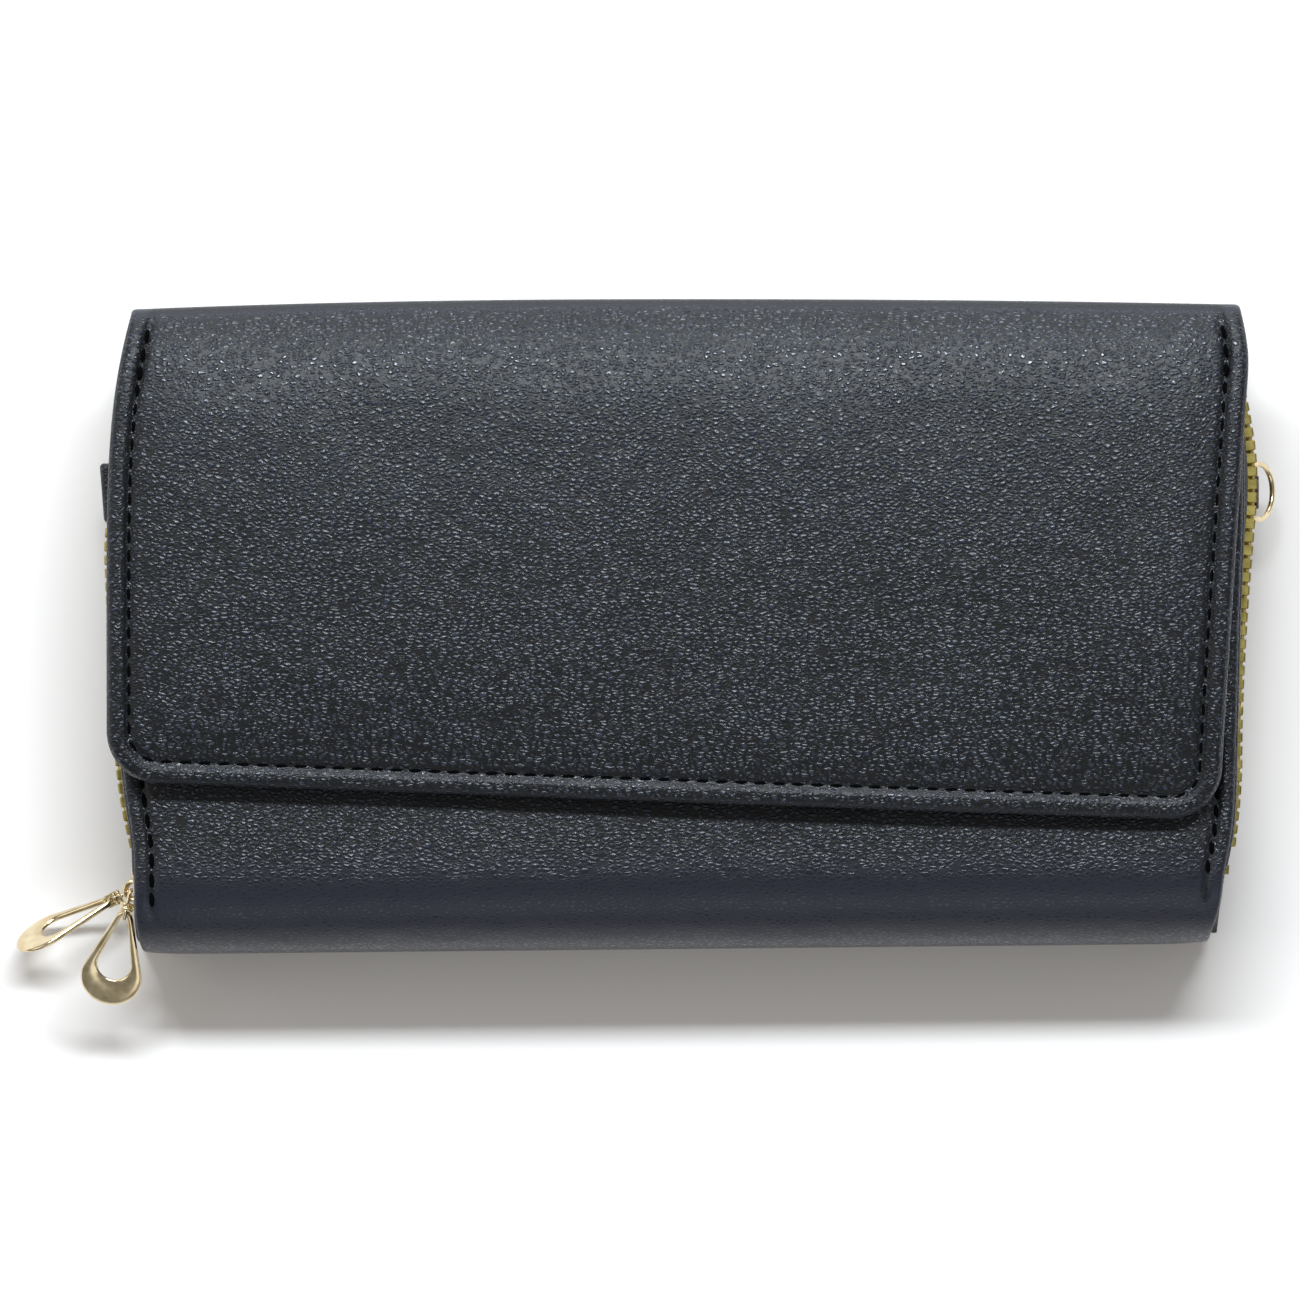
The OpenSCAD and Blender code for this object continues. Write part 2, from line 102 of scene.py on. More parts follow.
def circle(count):
    # angles evenly round a turn
    return np.linspace(0, 2 * np.pi, count, endpoint=False)


def signedPower(v, power):
    return np.sign(v) * np.abs(v) ** power


def gridIndex(rows, cols):
    # the number of each point of a grid stored row by row
    return np.arange(rows * cols).reshape(rows, cols)


def smoothCurve(*knots):
    # a smooth function through the knots: cubic pieces whose slopes are the average of their neighbours'
    kx, ky = np.array(knots, float).T
    slope = np.gradient(ky, kx)

    def at(x):
        x = np.clip(x, kx[0], kx[-1])
        i = np.clip(np.searchsorted(kx, x) - 1, 0, len(kx) - 2)
        w = kx[i + 1] - kx[i]
        t = (x - kx[i]) / w
        return ((2 * t ** 3 - 3 * t ** 2 + 1) * ky[i] + (t ** 3 - 2 * t ** 2 + t) * w * slope[i]
                + (3 * t ** 2 - 2 * t ** 3) * ky[i + 1] + (t ** 3 - t ** 2) * w * slope[i + 1])
    return at


def quadFaces(index, wrapU=False, wrapV=False):
    # four-cornered faces between neighbours of an index grid
    a = np.vstack([index, index[:1]]) if wrapU else index
    a = np.hstack([a, a[:, :1]]) if wrapV else a
    return np.stack([a[:-1, :-1], a[1:, :-1], a[1:, 1:], a[:-1, 1:]], -1).reshape(-1, 4)


softSet = {"archLeft": 2.0, "archRight": 1.0, "archFrom": 15.0, "lean": 1.0, "leanFrom": -20.0}


def softShape(points):
    # the wallet's ends sag: the top edge falls back towards both ends, and the bottom edge leans
    p = np.array(points, float)
    t = np.clip(p[:, 0] / 100, -1.05, 1.05)
    fall = np.where(t < 0, softSet["archLeft"], softSet["archRight"]) * np.abs(t) ** 2.2
    p[:, 1] -= fall * ease((p[:, 1] - softSet["archFrom"]) / 42)
    p[:, 1] += softSet["lean"] * t * ease((softSet["leanFrom"] - p[:, 1]) / 37)
    return p


def addObject(name, points, faces, material, smooth=True, attributes=None, soft=True):
    # points in millimetres become a mesh object in metres, with its place in its mesh
    mesh = bpy.data.meshes.new(name)
    shaped = softShape(points) if soft else np.asarray(points, float)
    mesh.from_pydata((shaped * mm).tolist(), [], [list(f) for f in faces])
    mesh.update()
    for key, values in (attributes or {}).items():
        layer = mesh.attributes.new(key, "FLOAT", "POINT")
        layer.data.foreach_set("value", np.asarray(values, np.float32).ravel())
    mesh.polygons.foreach_set("use_smooth", [smooth] * len(mesh.polygons))
    mesh.materials.append(material)
    obj = bpy.data.objects.new(name, mesh)
    bpy.context.scene.collection.objects.link(obj)
    return obj


def assignPiece(obj, body, nodes):
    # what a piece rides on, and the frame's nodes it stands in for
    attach(obj, body)
    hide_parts(*nodes)


def spread(length, band, fineCount, step):
    # places from 0 to length: close together near both ends, even in the middle
    turn = np.linspace(0, np.pi / 2, fineCount)
    first = band * (1 - np.cos(turn))
    count = max(2, int(round((length - 2 * band) / step)))
    middle = np.linspace(band, length - band, count + 1)[1:-1]
    return np.concatenate([first, middle, length - first[::-1]])


def panelGrid(left, right, lowEdge, topEdge, lowR=0.0, topR=0.0, band=9.0, fineCount=16, step=2.0,
              rowStep=2.0):
    # a flat panel on an (x, s) grid: straight or curved sides, slanting ends and round corners.
    # Also gives each point's distance to the panel's edge.
    frac = spread(200.0, band, fineCount, step) / 200.0
    u = frac[:, None]
    turn = np.linspace(0, np.pi / 2, fineCount)
    fine = band * (1 - np.cos(turn))
    span = float(np.mean(topEdge(frac) - lowEdge(frac)))
    count = max(2, int(round((span - 2 * band) / rowStep)))
    mix = np.linspace(0, 1, count + 1)[1:-1]
    lo = lowEdge(frac)[:, None]
    hi = topEdge(frac)[:, None]
    s = np.hstack([lo + fine, (lo + band) * (1 - mix) + (hi - band) * mix, hi - fine[::-1]])
    rows = s.shape[1]

    def pulledIn(r, e):
        return r - np.sqrt(np.maximum(r * r - np.clip(r - e, 0, r) ** 2, 0))

    shrink = np.zeros(rows)
    shrink[:fineCount] += pulledIn(lowR, fine)
    shrink[-fineCount:] += pulledIn(topR, fine[::-1])
    xl = left(s)
    xr = right(s)
    x = (xl + shrink) * (1 - u) + (xr - shrink) * u
    dl, dr, db, dt = x - xl, xr - x, s - lo, hi - s

    def corner(a, b, r):
        p, q = r - a, r - b
        return r - (np.hypot(np.maximum(p, 0), np.maximum(q, 0)) + np.minimum(np.maximum(p, q), 0))

    edge = np.minimum.reduce([corner(dl, db, lowR), corner(dr, db, lowR),
                              corner(dl, dt, topR), corner(dr, dt, topR)])
    return x, s, closeEdge(np.maximum(edge, 0))


def unit(v):
    # vectors scaled to length 1
    return v / np.maximum(np.linalg.norm(v, axis=-1, keepdims=True), 1e-9)


def pathLength(path):
    return np.sum(np.linalg.norm(np.diff(path, axis=0), axis=1))


def distances(path):
    # how far along a path each of its points lies
    return np.concatenate([[0], np.cumsum(np.linalg.norm(np.diff(path, axis=0), axis=1))])


def gridNormals(p):
    # unit normals of a point grid, from the cross product of its two directions
    return unit(np.cross(np.gradient(p, axis=0), np.gradient(p, axis=1)))


def closeEdge(edge):
    # nothing is left of the distance to the edge along a grid's four sides
    edge[0], edge[-1], edge[:, 0], edge[:, -1] = 0, 0, 0, 0
    return edge


def sheetShell(name, mid, edge, thick, material, relief=0.0, facing=(0, 0, 1), stretch=0.0, seam=0.0):
    # a closed skin either side of a middle surface: half the thickness each way, falling to
    # nothing at the edge along a quarter circle, with relief added on the outer side
    n = gridNormals(mid)
    side = 1.0 if np.sum(n * np.asarray(facing)) > 0 else -1.0
    n = n * side
    r = thick / 2
    lift = r * np.sqrt(1 - (1 - np.clip(edge / r, 0, 1)) ** 2)
    outer = mid + n * (lift + relief * np.clip(edge / r, 0, 1))[..., None]
    inner = mid - n * lift[..., None]
    nu, nv = edge.shape
    outerIndex = gridIndex(nu, nv)
    innerIndex = outerIndex.copy()
    innerIndex[1:-1, 1:-1] = nu * nv + np.arange((nu - 2) * (nv - 2)).reshape(nu - 2, nv - 2)
    points = np.vstack([outer.reshape(-1, 3), inner[1:-1, 1:-1].reshape(-1, 3)])
    f1, f2 = quadFaces(outerIndex), quadFaces(innerIndex)[:, ::-1]
    if side < 0:
        f1, f2 = f1[:, ::-1], f2[:, ::-1]
    both = lambda v: np.concatenate([v.ravel(), v[1:-1, 1:-1].ravel()])
    # the edge, stretch and seam values also paint light in the leather: a painted edge highlight, a painted
    # sheen over the folds and painted shade in the stitch grooves
    values = {"edge": both(edge), "stretch": both(edge * 0 + stretch), "seam": both(edge * 0 + seam)}
    return addObject(name, points, np.vstack([f1, f2]), material, attributes=values)


def pathFrame(path, closed=False):
    # unit tangents of a path of points
    if closed:
        t = np.roll(path, -1, 0) - np.roll(path, 1, 0)
    else:
        t = np.gradient(path, axis=0)
    return unit(t)


def tubeSkin(path, radius, up, sides=10, closed=False, flat=1.0):
    # an oval carried along a path: its width lies across "up" and its height along it
    t = pathFrame(path, closed)
    across = unit(np.cross(t, np.asarray(up, float)))
    lift = np.cross(across, t)
    a = circle(sides)
    rad = np.broadcast_to(np.asarray(radius, float), (len(path),))[:, None, None]
    ring = np.cos(a)[None, :, None] * across[:, None, :] + flat * np.sin(a)[None, :, None] * lift[:, None, :]
    p = path[:, None, :] + rad * ring
    index = gridIndex(len(path), sides)
    faces = quadFaces(index, wrapU=closed, wrapV=True)[:, ::-1].tolist()
    if not closed:
        faces += [index[0].tolist(), index[-1][::-1].tolist()]
    return p.reshape(-1, 3), faces


def join(parts):
    # several (points, faces) lists as one
    points, faces, base = [], [], 0
    for p, f in parts:
        points.append(p)
        faces += [[i + base for i in face] for face in f]
        base += len(p)
    return np.vstack(points), faces


def scatter(base, faces, origin, ax, ay, az):
    # copies of a small shape, each with its own place and its own three axes
    p = (origin[:, None] + base[None, :, :1] * ax[:, None] + base[None, :, 1:2] * ay[:, None]
         + base[None, :, 2:] * az[:, None])
    shift = (np.arange(len(origin)) * len(base))[:, None, None]
    return p.reshape(-1, 3), (faces[None] + shift).reshape(-1, faces.shape[1])


def alongPath(path, places):
    # points and unit directions at given distances along a path
    d = distances(path)
    at = np.stack([np.interp(places, d, path[:, k]) for k in range(path.shape[1])], -1)
    ahead = np.stack([np.interp(places + 0.3, d, path[:, k]) - np.interp(places - 0.3, d, path[:, k])
                      for k in range(path.shape[1])], -1)
    return at, unit(ahead)


def turningProfile(headings, lengths, start, count=400):
    # a curve given by its heading at some distances: the heading is summed along it
    s = np.linspace(0, lengths[-1], count)
    a = np.radians(np.interp(s, lengths, headings))
    step = s[1] - s[0]
    y = start[0] + np.concatenate([[0], np.cumsum(np.cos((a[1:] + a[:-1]) / 2) * step)])
    z = start[1] + np.concatenate([[0], np.cumsum(np.sin((a[1:] + a[:-1]) / 2) * step)])
    return s, y, z


def newMaterial(name, roughness, metallic=0.0):
    material = bpy.data.materials.new(name)
    material.use_nodes = True
    tree = material.node_tree
    shader = tree.nodes["Principled BSDF"]
    shader.inputs["Roughness"].default_value = roughness
    shader.inputs["Metallic"].default_value = metallic
    return material, tree, shader


def addNode(tree, kind, inputs, **settings):
    # a shader node with its settings. An input that is given a socket is linked to it, any other
    # is given its value.
    node = tree.nodes.new(kind)
    for key, value in settings.items():
        setattr(node, key, value)
    feed(tree, node, inputs)
    return node


def feed(tree, node, inputs):
    for key, value in inputs.items():
        if isinstance(value, bpy.types.NodeSocket):
            tree.links.new(value, node.inputs[key])
        else:
            node.inputs[key].default_value = value


def noise(tree, place, scale, detail, **more):
    return addNode(tree, "ShaderNodeTexNoise", {"Vector": place, "Scale": scale, "Detail": detail, **more})


def remap(tree, value, inputs, **settings):
    return addNode(tree, "ShaderNodeMapRange", {"Value": value, **inputs}, **settings).outputs["Result"]


def bumped(tree, height, strength, deep, under=None):
    # normals tilted by a height map, on top of those of another one if it is given
    inputs = {"Height": height, "Strength": strength, "Distance": deep * mm}
    if under is not None:
        inputs["Normal"] = under
    return addNode(tree, "ShaderNodeBump", inputs).outputs["Normal"]


def combined(tree, operation, *inputs, kind="ShaderNodeMath"):
    return addNode(tree, kind, dict(enumerate(inputs)), operation=operation).outputs[0]


def mixed(tree, share, first, second):
    # from the first colour to the second as the share goes from 0 to 1
    return addNode(tree, "ShaderNodeMix", {0: share, 6: first, 7: second}, data_type="RGBA").outputs[2]


def meshValue(tree, key):
    return addNode(tree, "ShaderNodeAttribute", {}, attribute_name=key).outputs["Fac"]


def objectPlace(tree):
    return addNode(tree, "ShaderNodeTexCoord", {}).outputs["Object"]


def colourRamp(tree, value, stops):
    ramp = addNode(tree, "ShaderNodeValToRGB", {"Fac": value})
    elements = ramp.color_ramp.elements
    elements[0].position, elements[0].color = stops[0][0], (*stops[0][1], 1)
    elements[1].position, elements[1].color = stops[-1][0], (*stops[-1][1], 1)
    for place, colour in stops[1:-1]:
        elements.new(place).color = (*colour, 1)
    return ramp.outputs["Color"]


leatherSet = {
    "wobbleScale": 900.0, "wobbleBy": 0.0007, "cellStretch": (0.72, 1.25, 1.1), "domeReach": 0.42,
    "fineScale": 3200.0, "fineShare": 0.16, "stretchedGrain": 0.16,
    "driftScale": 38.0, "driftDeep": 1.6, "grainShadeAndHighlight": 0.62, "driftTone": 0.22,
    "edgeHighlightReach": 1.2, "edgeHighlightShare": 0.35, "edgeHighlightLight": 0.7, "foldSheenTint": (0.55, 0.5, 0.52),
    "grooveShadeColour": (0.001, 0.001, 0.0015, 1), "specular": 0.42, "creaseRough": 0.25, "topRough": -0.06,
}


def pebbleLeather(name, dark, light, cell=0.86, depth=0.09, roughness=0.2):
    # rounded cells with creases between them, longer sideways than up and down, with finer wrinkles
    # on top and a slow drift of colour. Where the mesh says it is stretched, the grain is pulled flat.
    # The colour also holds painted light: painted shade in the creases and painted highlight on the cell
    # tops, a painted highlight along the edges, a painted sheen over the stretched folds and painted
    # shade in the stitch grooves.
    g = leatherSet
    material, tree, shader = newMaterial(name, roughness)
    place = objectPlace(tree)
    wobble = noise(tree, place, g["wobbleScale"], 2.0).outputs["Color"]
    centred = combined(tree, "SUBTRACT", wobble, (0.5, 0.5, 0.5), kind="ShaderNodeVectorMath")
    small = addNode(tree, "ShaderNodeVectorMath", {0: centred, "Scale": g["wobbleBy"]},
                    operation="SCALE").outputs[0]
    moved = combined(tree, "ADD", place, small, kind="ShaderNodeVectorMath")
    longer = addNode(tree, "ShaderNodeMapping", {"Vector": moved, "Scale": g["cellStretch"]}).outputs[0]
    cells = addNode(tree, "ShaderNodeTexVoronoi", {"Vector": longer, "Scale": 1000.0 / cell},
                    feature="DISTANCE_TO_EDGE").outputs["Distance"]
    dome = remap(tree, cells, {"From Max": g["domeReach"]}, interpolation_type="SMOOTHSTEP")
    fine = noise(tree, place, g["fineScale"], 3.0, Roughness=0.6).outputs["Fac"]
    height = combined(tree, "MULTIPLY_ADD", fine, g["fineShare"], dome)
    pulled = meshValue(tree, "stretch")
    flatten = remap(tree, pulled, {"To Min": 1.0, "To Max": g["stretchedGrain"]})
    eased = combined(tree, "MULTIPLY", height, flatten)
    drift = noise(tree, place, g["driftScale"], 3.0).outputs["Fac"]
    waves = bumped(tree, drift, 0.6, g["driftDeep"])
    driftPart = combined(tree, "MULTIPLY", drift, g["driftTone"])
    # painted shade and highlight: the cell height darkens the colour to near black in the creases and
    # lightens it on the tops, with a random drift of tone added
    shadeHighlightAndDrift = combined(tree, "MULTIPLY_ADD", eased, g["grainShadeAndHighlight"], driftPart)
    tone = colourRamp(tree, shadeHighlightAndDrift, [(0.22, dark), (0.46, [c * 0.2 for c in light]), (0.85, light)])
    # painted highlight: the colour is lightened within a little over a millimetre of each piece's edge,
    # where the rims catch the light
    edgeHighlight = remap(tree, meshValue(tree, "edge"),
                 {"From Max": g["edgeHighlightReach"], "To Min": g["edgeHighlightShare"], "To Max": 0.0})
    withEdgeHighlight = mixed(tree, edgeHighlight, tone, (*[c * g["edgeHighlightLight"] for c in light], 1))
    # painted reflection: a grey-purple sheen is mixed in where the mesh is stretched over a fold, alongside
    # the flattened grain
    folded = mixed(tree, pulled, withEdgeHighlight, (*[c * k for c, k in zip(light, g["foldSheenTint"])], 1))
    # painted shade: the colour goes to near black along the stitch grooves
    sewn = mixed(tree, meshValue(tree, "seam"), folded, g["grooveShadeColour"])
    shine = remap(tree, dome, {"To Min": roughness + g["creaseRough"], "To Max": roughness + g["topRough"]})
    feed(tree, shader, {"Normal": bumped(tree, eased, 1.0, depth, waves), "Base Color": sewn,
                        "Roughness": shine, "Specular IOR Level": g["specular"]})
    return material


def wovenCloth(name, dark, light, pitch=0.45, depth=0.08, roughness=0.85):
    # two crossed sets of threads: the higher of two waves along the cloth, whose scale turns the
    # pitch into the wave's own unit
    waveUnit, slant = 0.314, (0.35, 0.22, 0.785)
    material, tree, shader = newMaterial(name, roughness)
    turned = addNode(tree, "ShaderNodeMapping", {"Vector": objectPlace(tree), "Rotation": slant}).outputs[0]
    wave = {"Vector": turned, "Scale": waveUnit / (pitch * mm), "Distortion": 0.4}
    threads = [addNode(tree, "ShaderNodeTexWave", wave, bands_direction=direction).outputs["Fac"]
               for direction in ("X", "Y")]
    both = combined(tree, "MAXIMUM", *threads)
    feed(tree, shader, {"Normal": bumped(tree, both, 0.9, depth), "Sheen Weight": 0.08,
                        "Base Color": colourRamp(tree, both, [(0.0, dark), (1.0, light)])})
    return material


def castMetal(name, dark, light, roughness, scratch=0.02):
    # plated metal: slow changes of tone and shine, with fine scratches in the bump
    material, tree, shader = newMaterial(name, roughness, 1.0)
    place = objectPlace(tree)
    cloud = noise(tree, place, 420.0, 3.0).outputs["Fac"]
    scratches = noise(tree, place, 2600.0, 2.0).outputs["Fac"]
    shine = remap(tree, cloud, {"To Min": roughness - 0.07, "To Max": roughness + 0.12})
    feed(tree, shader, {"Base Color": colourRamp(tree, cloud, [(0.3, dark), (0.7, light)]),
                        "Roughness": shine, "Normal": bumped(tree, scratches, 0.5, scratch)})
    return material


def twistedThread(name, colour):
    # slanting plies along a sewn stitch
    material, tree, shader = newMaterial(name, 0.9)
    wave = {"Vector": objectPlace(tree), "Scale": 900.0, "Distortion": 0.6}
    plies = addNode(tree, "ShaderNodeTexWave", wave, bands_direction="DIAGONAL").outputs["Fac"]
    tone = colourRamp(tree, plies, [(0.0, [c * 0.5 for c in colour]), (1.0, colour)])
    feed(tree, shader, {"Normal": bumped(tree, plies, 0.8, 0.06), "Base Color": tone,
                        "Specular IOR Level": 0.05})
    return material


navyLeather = pebbleLeather("navy_leather", (0.0010, 0.0012, 0.0018), (0.034, 0.043, 0.066))
slotLeather = pebbleLeather("slot_leather", (0.002, 0.0022, 0.003), (0.034, 0.038, 0.048), depth=0.09)
liningCloth = wovenCloth("lining_cloth", (0.010, 0.010, 0.013), (0.030, 0.031, 0.037))
tapeCloth = wovenCloth("zip_tape_cloth", (0.006, 0.006, 0.007), (0.022, 0.022, 0.025), pitch=0.6, depth=0.14)
toothBrass = castMetal("tooth_brass", (0.30, 0.235, 0.06), (0.50, 0.40, 0.13), 0.42)
paleGold = castMetal("pale_gold", (0.66, 0.52, 0.30), (0.86, 0.74, 0.50), 0.2, scratch=0.008)
snapNickel = castMetal("snap_nickel", (0.42, 0.42, 0.43), (0.62, 0.62, 0.63), 0.28)
blackThread = twistedThread("black_thread", (0.0015, 0.0015, 0.002))
print("materials made")


# half widths of the leaves and of the zips' lines, as (height, half width)
leafLeft = smoothCurve((-58, 94.2), (-55, 95.0), (-50, 95.6), (-38, 95.9), (-30, 97.1), (-21, 98.1),
                       (0, 98.9), (22, 99.2), (40, 98.6), (56, 96.6))
leafRight = smoothCurve((-58, 93.4), (-55, 94.2), (-50, 95.4), (-44, 96.2), (-38, 97.3), (-20, 98.2),
                        (0, 98.7), (22, 99.4), (40, 99.0), (56, 97.5))
zipLeft = smoothCurve((-57, 92.5), (-48, 93.3), (-42, 94.2), (-37, 95.4), (-32, 96.5), (-27, 97.3),
                      (-19, 98.0), (-3, 98.9), (8, 99.4), (15, 99.5), (19, 99.0), (24, 98.2), (30, 97.6),
                      (38, 96.8), (47, 95.8))
zipRight = smoothCurve((-57, 95.0), (-48, 95.7), (-42, 96.4), (-37, 97.0), (-28, 97.8), (-17, 98.0),
                       (-3, 98.6), (10, 99.5), (17, 100.1), (24, 100.6), (31, 100.3), (37, 99.4), (47, 97.5))


def sewnLeft(y):
    return np.minimum(zipLeft(y), leafLeft(y))


def sewnRight(y):
    return np.minimum(zipRight(y), leafRight(y))


def zipOutline(inset, startY, leftHalf=zipLeft, rightHalf=zipRight):
    # the zip's path: up the left side, round the corner, over the top and down the right
    r = wallet["cornerR"]
    up = np.linspace(startY, wallet["leafTopY"] - r, 60)
    a = np.linspace(0, np.pi / 2, 14)[1:]

    def side(half):
        end = half(up[-1])
        cornerX = end - r + (r - inset) * np.cos(a)
        cornerY = wallet["leafTopY"] - r + (r - inset) * np.sin(a)
        return np.vstack([np.column_stack([half(up) - inset, up]), np.column_stack([cornerX, cornerY])])

    left, right = side(leftHalf) * np.array([-1, 1]), side(rightHalf)
    top = np.linspace(left[-1, 0], right[-1, 0], 60)[1:-1]
    return np.vstack([left, np.column_stack([top, np.full(58, left[-1, 1])]), right[::-1]])


def leafSheet(name, z, thick, material, inset=0.0, fromY=None, crown=0.0, nodes=(), body="", cornerR=9.0):
    # a leaf-shaped sheet with round top corners, lying at height z
    y0 = wallet["foldY"] + 0.6 if fromY is None else fromY
    x, y, edge = panelGrid(lambda s: -leafLeft(s) + inset, lambda s: leafRight(s) - inset,
                           level(y0), level(wallet["leafTopY"] - inset),
                           topR=cornerR - inset, lowR=1.5, step=4.0, rowStep=4.0, fineCount=12)
    mid = np.stack([x, y, z + crown * ease(edge / 30)], -1)
    obj = sheetShell(name, mid, edge, thick, material)
    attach(obj, body)
    if nodes:
        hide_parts(*nodes)
    return obj


flapSet = {
    "thick": 1.5,
    "leftX": 100.0, "leftTopX": 95.8, "rightLowX": 95.0, "rightTopX": 100.0,
    "lowLeftY": -27.6, "lowRightY": -34.3,
    "cornerR": 9.0,
    "stitchIn": 3.9, "stitchPitch": 3.35,
    "rimHigh": 0.6, "grooveDeep": 0.55, "pillow": 0.9, "sag": 1.3,
}


def flapLeft(y):
    return -flapSet["leftX"] + (flapSet["leftX"] - flapSet["leftTopX"]) * np.clip((y + 5) / 61, 0, 1) ** 4


def flapRight(y):
    rise = np.clip((y + 30) / 78, 0, 1)
    tuck = np.clip((y - 44) / 13, 0, 1)
    widening = (flapSet["rightTopX"] - flapSet["rightLowX"]) * rise ** 1.1
    return flapSet["rightLowX"] + widening - 1.7 * tuck ** 2


# heading along the flap, from the underside of the roll, round it and down the front
rollMid = 3.0 - flapSet["thick"] / 2
rollStart = rollCentre + rollMid * np.array([np.cos(np.radians(-62)), np.sin(np.radians(-62))])
rollTurn = np.radians(157 - 28) * rollMid
frontPlaces = rollTurn + np.array([0, 4, 10, 19, 34, 70, 96])
flapS, flapY, flapZ = turningProfile([28, 148, 156, 167, 177, 180, 185, 190], [0, *frontPlaces], rollStart)
onFront = slice(80, None)


def flapLowY(x):
    t = (x + flapSet["leftX"]) / (2 * flapSet["leftX"])
    return flapSet["lowLeftY"] + (flapSet["lowRightY"] - flapSet["lowLeftY"]) * t


def flapDrop(x, y):
    # sideways shape: a flat middle that falls towards the sides, and a soft wave along the lip
    side = np.clip((np.abs(x) - 60) / 42, 0, 1)
    nearLip = ease((-y - 2) / 30)
    wave = 0.5 * np.sin((x + 20) / 24) * nearLip
    return -flapSet["sag"] * side ** 2.2 + wave


def flapRelief(edge):
    # rolled rim outside the stitches, a groove under them and a soft pillow inside
    rim = flapSet["rimHigh"] * bump(edge, 1.9, 1.55, 4)
    groove = flapSet["grooveDeep"] * bump(edge, flapSet["stitchIn"], 0.62)
    pillow = flapSet["pillow"] * 0.35 * ease((edge - flapSet["stitchIn"]) / 7)
    return rim - groove + pillow


def flapGrid(inset=0.0, offset=0.0, sFrom=0.0):
    sAtY = lambda y: np.interp(-y, -flapY[onFront], flapS[onFront])
    span = 2 * flapSet["leftX"]
    lowS = lambda u: sAtY(flapLowY(-flapSet["leftX"] + span * u)) - inset
    yAt = lambda s: np.interp(s, flapS, flapY)
    x, s, edge = panelGrid(lambda s: flapLeft(yAt(s)) + inset, lambda s: flapRight(yAt(s)) - inset,
                           level(sFrom), lowS, topR=flapSet["cornerR"] - inset, lowR=0.0,
                           band=9.0, fineCount=22, step=1.6, rowStep=1.6)
    y = np.interp(s, flapS, flapY)
    z = np.interp(s, flapS, flapZ)
    front = ease((s - rollTurn) / 14)
    p = np.stack([x, y, z + flapDrop(x, y) * front], -1)
    n = gridNormals(p)
    n = n * np.sign(n[:, -1:, 2:3])
    return p + n * offset, edge, s


def flapTopZ(x, y):
    # height of the flap's outer face on its stitch line
    s = np.interp(-y, -flapY[onFront], flapS[onFront])
    return (np.interp(s, flapS, flapZ) + flapDrop(x, y) * ease((s - rollTurn) / 14)
            + flapSet["thick"] / 2 - flapSet["grooveDeep"])


def makeFlap():
    p, edge, s = flapGrid()
    relief = flapRelief(edge) * ease((s - 1.0) / 8)
    # the painted shade along the sewn line is darker up the sides than along the lip
    grooveShadeStrength = 0.3 + 0.5 * ease((p[..., 1] + 22) / 6)
    # stretch flattens the grain over the roll and paints a sheen there
    flapPiece = sheetShell("flap_leather", p, edge, flapSet["thick"], navyLeather, relief=relief,
                           stretch=1 - ease((s - rollTurn + 1.5) / 3.5),
                           seam=grooveShadeStrength * bump(edge, flapSet["stitchIn"], 0.6) * (s > 1.5))
    assignPiece(flapPiece, "flap", ["flap_cover", "flap_roll"])
    q, innerEdge = flapGrid(inset=2.4, offset=-(flapSet["thick"] / 2 + 0.2), sFrom=rollTurn + 1)[:2]
    lining = sheetShell("flap_lining_cloth", q, innerEdge, 0.5, liningCloth)
    assignPiece(lining, "flap", ["flap_lining"])


def capsule(length, width, height, sides=8, rings=6):
    # a rounded bar along its own x: an ellipse whose size follows a half circle at both ends
    t = np.linspace(-1, 1, rings)
    r = np.maximum(1 - np.abs(t) ** 4, 0.02) ** 0.5
    a = circle(sides)
    arch = -0.35 * height * t ** 2
    p = np.stack([np.repeat(t * length / 2, sides), np.outer(r, np.cos(a)).ravel() * width / 2,
                  (np.outer(r, np.sin(a)) * height / 2 + arch[:, None]).ravel()], -1)
    index = gridIndex(rings, sides)
    return p, quadFaces(index, wrapV=True)


def stitchRow(name, at, ahead, up, body, nodes, length=2.7, width=0.85, height=0.5):
    # one thread capsule for each stitch, turned a little across the line of sewing
    base, faces = capsule(length, width, height)
    across = np.cross(up, ahead)
    tilt = np.radians(5)
    ax = ahead * np.cos(tilt) + across * np.sin(tilt)
    ay = np.cross(up, ax)
    p, f = scatter(base, faces, at, ax, ay, up)
    obj = addObject(name, p, f, blackThread)
    assignPiece(obj, body, nodes)


